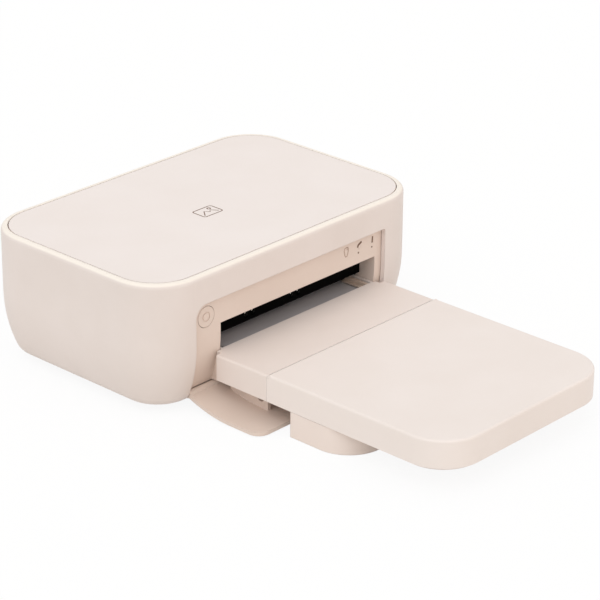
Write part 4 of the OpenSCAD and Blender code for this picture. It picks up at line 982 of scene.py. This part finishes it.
class PrinterLidRibs(bpy.types.Operator):
    """Moulds the lattice of stiffening ribs under the tray's lid"""
    bl_idname = "printer.lid_ribs"
    bl_label = "Lid ribs"

    def execute(self, context):
        _, s, _ = settings()
        t = s.rib * 1000 / 2
        lo, hi = box_mm("tray_lid")
        inset, corner, gap, margin = 5.0, 17.0, 0.5, 6.0
        x0, x1, y0 = lo.x + inset, hi.x - inset, lo.y + inset
        low, high = hi.z - 2.9, hi.z - 1.7

        def cut_back(away):
            """How far a round corner eats into a rib that runs away from the corner's side."""
            return corner - math.sqrt(max(corner ** 2 - (corner - min(away, corner)) ** 2, 0.0))

        parts = []
        for k in range(5):
            x = x0 + (k + 0.5) * (x1 - x0) / 5
            start = y0 + cut_back(min(x - x0, x1 - x) - t)
            parts.append(lump(x - t, start + gap, low, x + t, hi.y - 5.5, high, 0.12, 0.2))
        for k in range(6):
            y = y0 + margin + k * (hi.y - 9.0 - y0 - margin) / 5
            back = cut_back(y - t - y0)
            parts.append(lump(x0 + back + gap, y - t, low + 0.2, x1 - back - gap, y + t, high, 0.12, 0.2))
        piece("lid_ribs", *join(parts), "tray_lid", "lid_plastic", False)
        return {"FINISHED"}


class PrinterSocket(bpy.types.Operator):
    """Lines the power socket with its metal sleeve and tips its pin"""
    bl_idname = "printer.socket"
    bl_label = "Power socket"

    def execute(self, context):
        lo, hi = box_mm("power_inlet")
        x, z = (lo.x + hi.x) / 2, (lo.z + hi.z) / 2
        inner, mouth, root = 52.6, hi.y - 0.5, hi.y - 7.0
        sleeve = [(2.45, inner), (2.45, hi.y - 0.7), (2.6, mouth), (2.86, mouth), (2.86, inner)]
        pin = [(0.05, root), (0.94, root), (0.94, hi.y - 3.0), (0.88, hi.y - 2.1), (0.55, hi.y - 1.7),
               (0.05, hi.y - 1.7)]
        parts = [turned_ring(sleeve, (x, 0, z), (0, 1, 0)), turned(pin, (x, 0, z), (0, 1, 0), 24)]
        piece("socket_sleeve", *join(parts), "housing", "pin_steel")
        return {"FINISHED"}


def seen_or_not(tree, rays, unseen, seen):
    """Mixes two shaders: one for rays of the two named kinds, the other for all the rest."""
    path = tree.nodes.new("ShaderNodeLightPath")
    either = tree.nodes.new("ShaderNodeMath")
    either.operation = "MAXIMUM"
    for ray, socket in zip(rays, either.inputs):
        tree.links.new(path.outputs[ray], socket)
    mix = tree.nodes.new("ShaderNodeMixShader")
    for node, socket in zip((either, unseen, seen), mix.inputs):
        tree.links.new(node.outputs[0], socket)
    return mix.outputs[0]


def lay_floor(s):
    """The table: to the camera and in reflections mostly white light, with a share of lit paper
    that keeps the shadow; to everything else warm lit paper."""
    floor = Nodes("floor_paper")
    floor.tree.nodes.remove(floor.shader)
    lit, unseen = floor.add("ShaderNodeBsdfDiffuse"), floor.add("ShaderNodeBsdfDiffuse")
    lit.inputs["Color"].default_value = (1.0, 1.0, 1.0, 1.0)
    unseen.inputs["Color"].default_value = (*s.floor, 1.0)
    white = floor.add("ShaderNodeEmission")
    seen = floor.add("ShaderNodeMixShader")
    seen.inputs["Fac"].default_value = s.shadow
    floor.link(white.outputs[0], seen.inputs[1])
    floor.link(lit.outputs[0], seen.inputs[2])
    mixed = seen_or_not(floor.tree, ("Is Camera Ray", "Is Glossy Ray"), unseen, seen)
    floor.link(mixed, floor.out.inputs["Surface"])
    reach, sunk, lines = 3.0, 0.0001, 4
    x, y = np.meshgrid(np.linspace(-reach, reach, lines), np.linspace(-reach, reach, lines))
    mesh = bpy.data.meshes.new("floor")
    mesh.from_pydata(np.c_[x.ravel(), y.ravel(), np.full(lines ** 2, -sunk)].tolist(), [],
                     grid_faces(lines, lines, wrap_cols=False))
    obj = bpy.data.objects.new("floor", mesh)
    mesh.materials.append(floor.material)
    bpy.context.scene.collection.objects.link(obj)


def light_sky(s):
    """Even light from all around, white where it is seen."""
    world = bpy.data.worlds.new("studio")
    bpy.context.scene.world = world
    world.use_nodes = True
    tree = world.node_tree
    tree.nodes.clear()
    out = tree.nodes.new("ShaderNodeOutputWorld")
    even, white = tree.nodes.new("ShaderNodeBackground"), tree.nodes.new("ShaderNodeBackground")
    even.inputs["Color"].default_value = (1.0, 1.0, 0.99, 1.0)
    even.inputs["Strength"].default_value = s.sky
    white.inputs["Color"].default_value = (1.0, 1.0, 1.0, 1.0)
    mixed = seen_or_not(tree, ("Is Camera Ray", "Is Transmission Ray"), even, white)
    tree.links.new(mixed, out.inputs["Surface"])


def hang_lamps(s):
    """A broad lamp high at the left and a weak one at the front, as (name, place, power, spread in
    degrees, tint)."""
    for name, place, power, spread, tint in (
            ("key", (-0.62, -0.18, 0.76), s.key, 50.0, (0.99, 1.0, 1.0)),
            ("fill", (0.25, -0.85, 0.45), s.fill, 60.0, (1.0, 0.70, 0.48))):
        data = bpy.data.lights.new(name, "SUN")
        data.energy = power
        data.angle = math.radians(spread)
        data.color = tint
        lamp = bpy.data.objects.new(name, data)
        lamp.matrix_world = Vector(place).to_track_quat("Z", "Y").to_matrix().to_4x4()
        bpy.context.scene.collection.objects.link(lamp)


def set_camera(s):
    """The camera: back points from what it looks at to the lens."""
    ca, sa = math.cos(s.azimuth), math.sin(s.azimuth)
    ce, se = math.cos(s.elevation), math.sin(s.elevation)
    back = Vector((sa * ce, -ca * ce, se))
    right = Vector((0, 0, 1)).cross(back).normalized()
    up = back.cross(right)
    cr, sr = math.cos(s.roll), math.sin(s.roll)
    axes = Matrix((cr * right + sr * up, cr * up - sr * right, back)).transposed()
    camera = bpy.data.cameras.new("camera")
    camera.sensor_width = 36.0
    camera.lens = s.focal
    camera.clip_end = 20.0
    holder = bpy.data.objects.new("camera", camera)
    holder.matrix_world = Matrix.Translation(Vector(s.target) + back * s.distance) @ axes.to_4x4()
    bpy.context.scene.collection.objects.link(holder)
    bpy.context.scene.camera = holder


class PrinterStageOperator(bpy.types.Operator):
    """Puts in the floor, the sky, the lamps and the camera"""
    bl_idname = "printer.stage"
    bl_label = "Stage"

    def execute(self, context):
        _, _, s = settings()
        lay_floor(s)
        light_sky(s)
        hang_lamps(s)
        set_camera(s)
        context.scene.view_settings.view_transform = "Standard"
        return {"FINISHED"}


class PrinterPanel(bpy.types.Panel):
    """Settings and steps of the photo printer"""
    bl_label = "Photo Printer"
    bl_idname = "VIEW3D_PT_photo_printer"
    bl_space_type = "VIEW_3D"
    bl_region_type = "UI"
    bl_category = "Photo Printer"

    def draw(self, context):
        for group in settings():
            box = self.layout.box()
            for key in group.__annotations__:
                box.prop(group, key)
        for step in STEPS:
            self.layout.operator(step.bl_idname)


GROUPS = (("printer_colours", PrinterColours), ("printer_sizes", PrinterSizes),
          ("printer_stage", PrinterStage))
STEPS = (PrinterFinish, PrinterMarks, PrinterSheets, PrinterRibbon, PrinterWheels, PrinterSprings,
         PrinterScrews, PrinterMotors, PrinterBoards, PrinterFeet, PrinterLidRibs, PrinterSocket,
         PrinterStageOperator)


def register():
    """Registers the settings, the steps and the panel."""
    for name, group in GROUPS:
        bpy.utils.register_class(group)
        setattr(bpy.types.Scene, name, PointerProperty(type=group))
    for step in STEPS + (PrinterPanel,):
        bpy.utils.register_class(step)


def unregister():
    """Takes them out again."""
    for step in reversed(STEPS + (PrinterPanel,)):
        bpy.utils.unregister_class(step)
    for name, group in reversed(GROUPS):
        delattr(bpy.types.Scene, name)
        bpy.utils.unregister_class(group)


def main():
    """Builds the printer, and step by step."""
    register()
    bpy.ops.printer.finish()
    bpy.ops.printer.marks()
    bpy.ops.printer.sheets()
    bpy.ops.printer.ribbon()
    bpy.ops.printer.wheels()
    bpy.ops.printer.springs()
    bpy.ops.printer.screws()
    bpy.ops.printer.motors()
    bpy.ops.printer.boards()
    bpy.ops.printer.feet()
    bpy.ops.printer.lid_ribs()
    bpy.ops.printer.socket()
    bpy.ops.printer.stage()


if __name__ == "__main__":
    main()
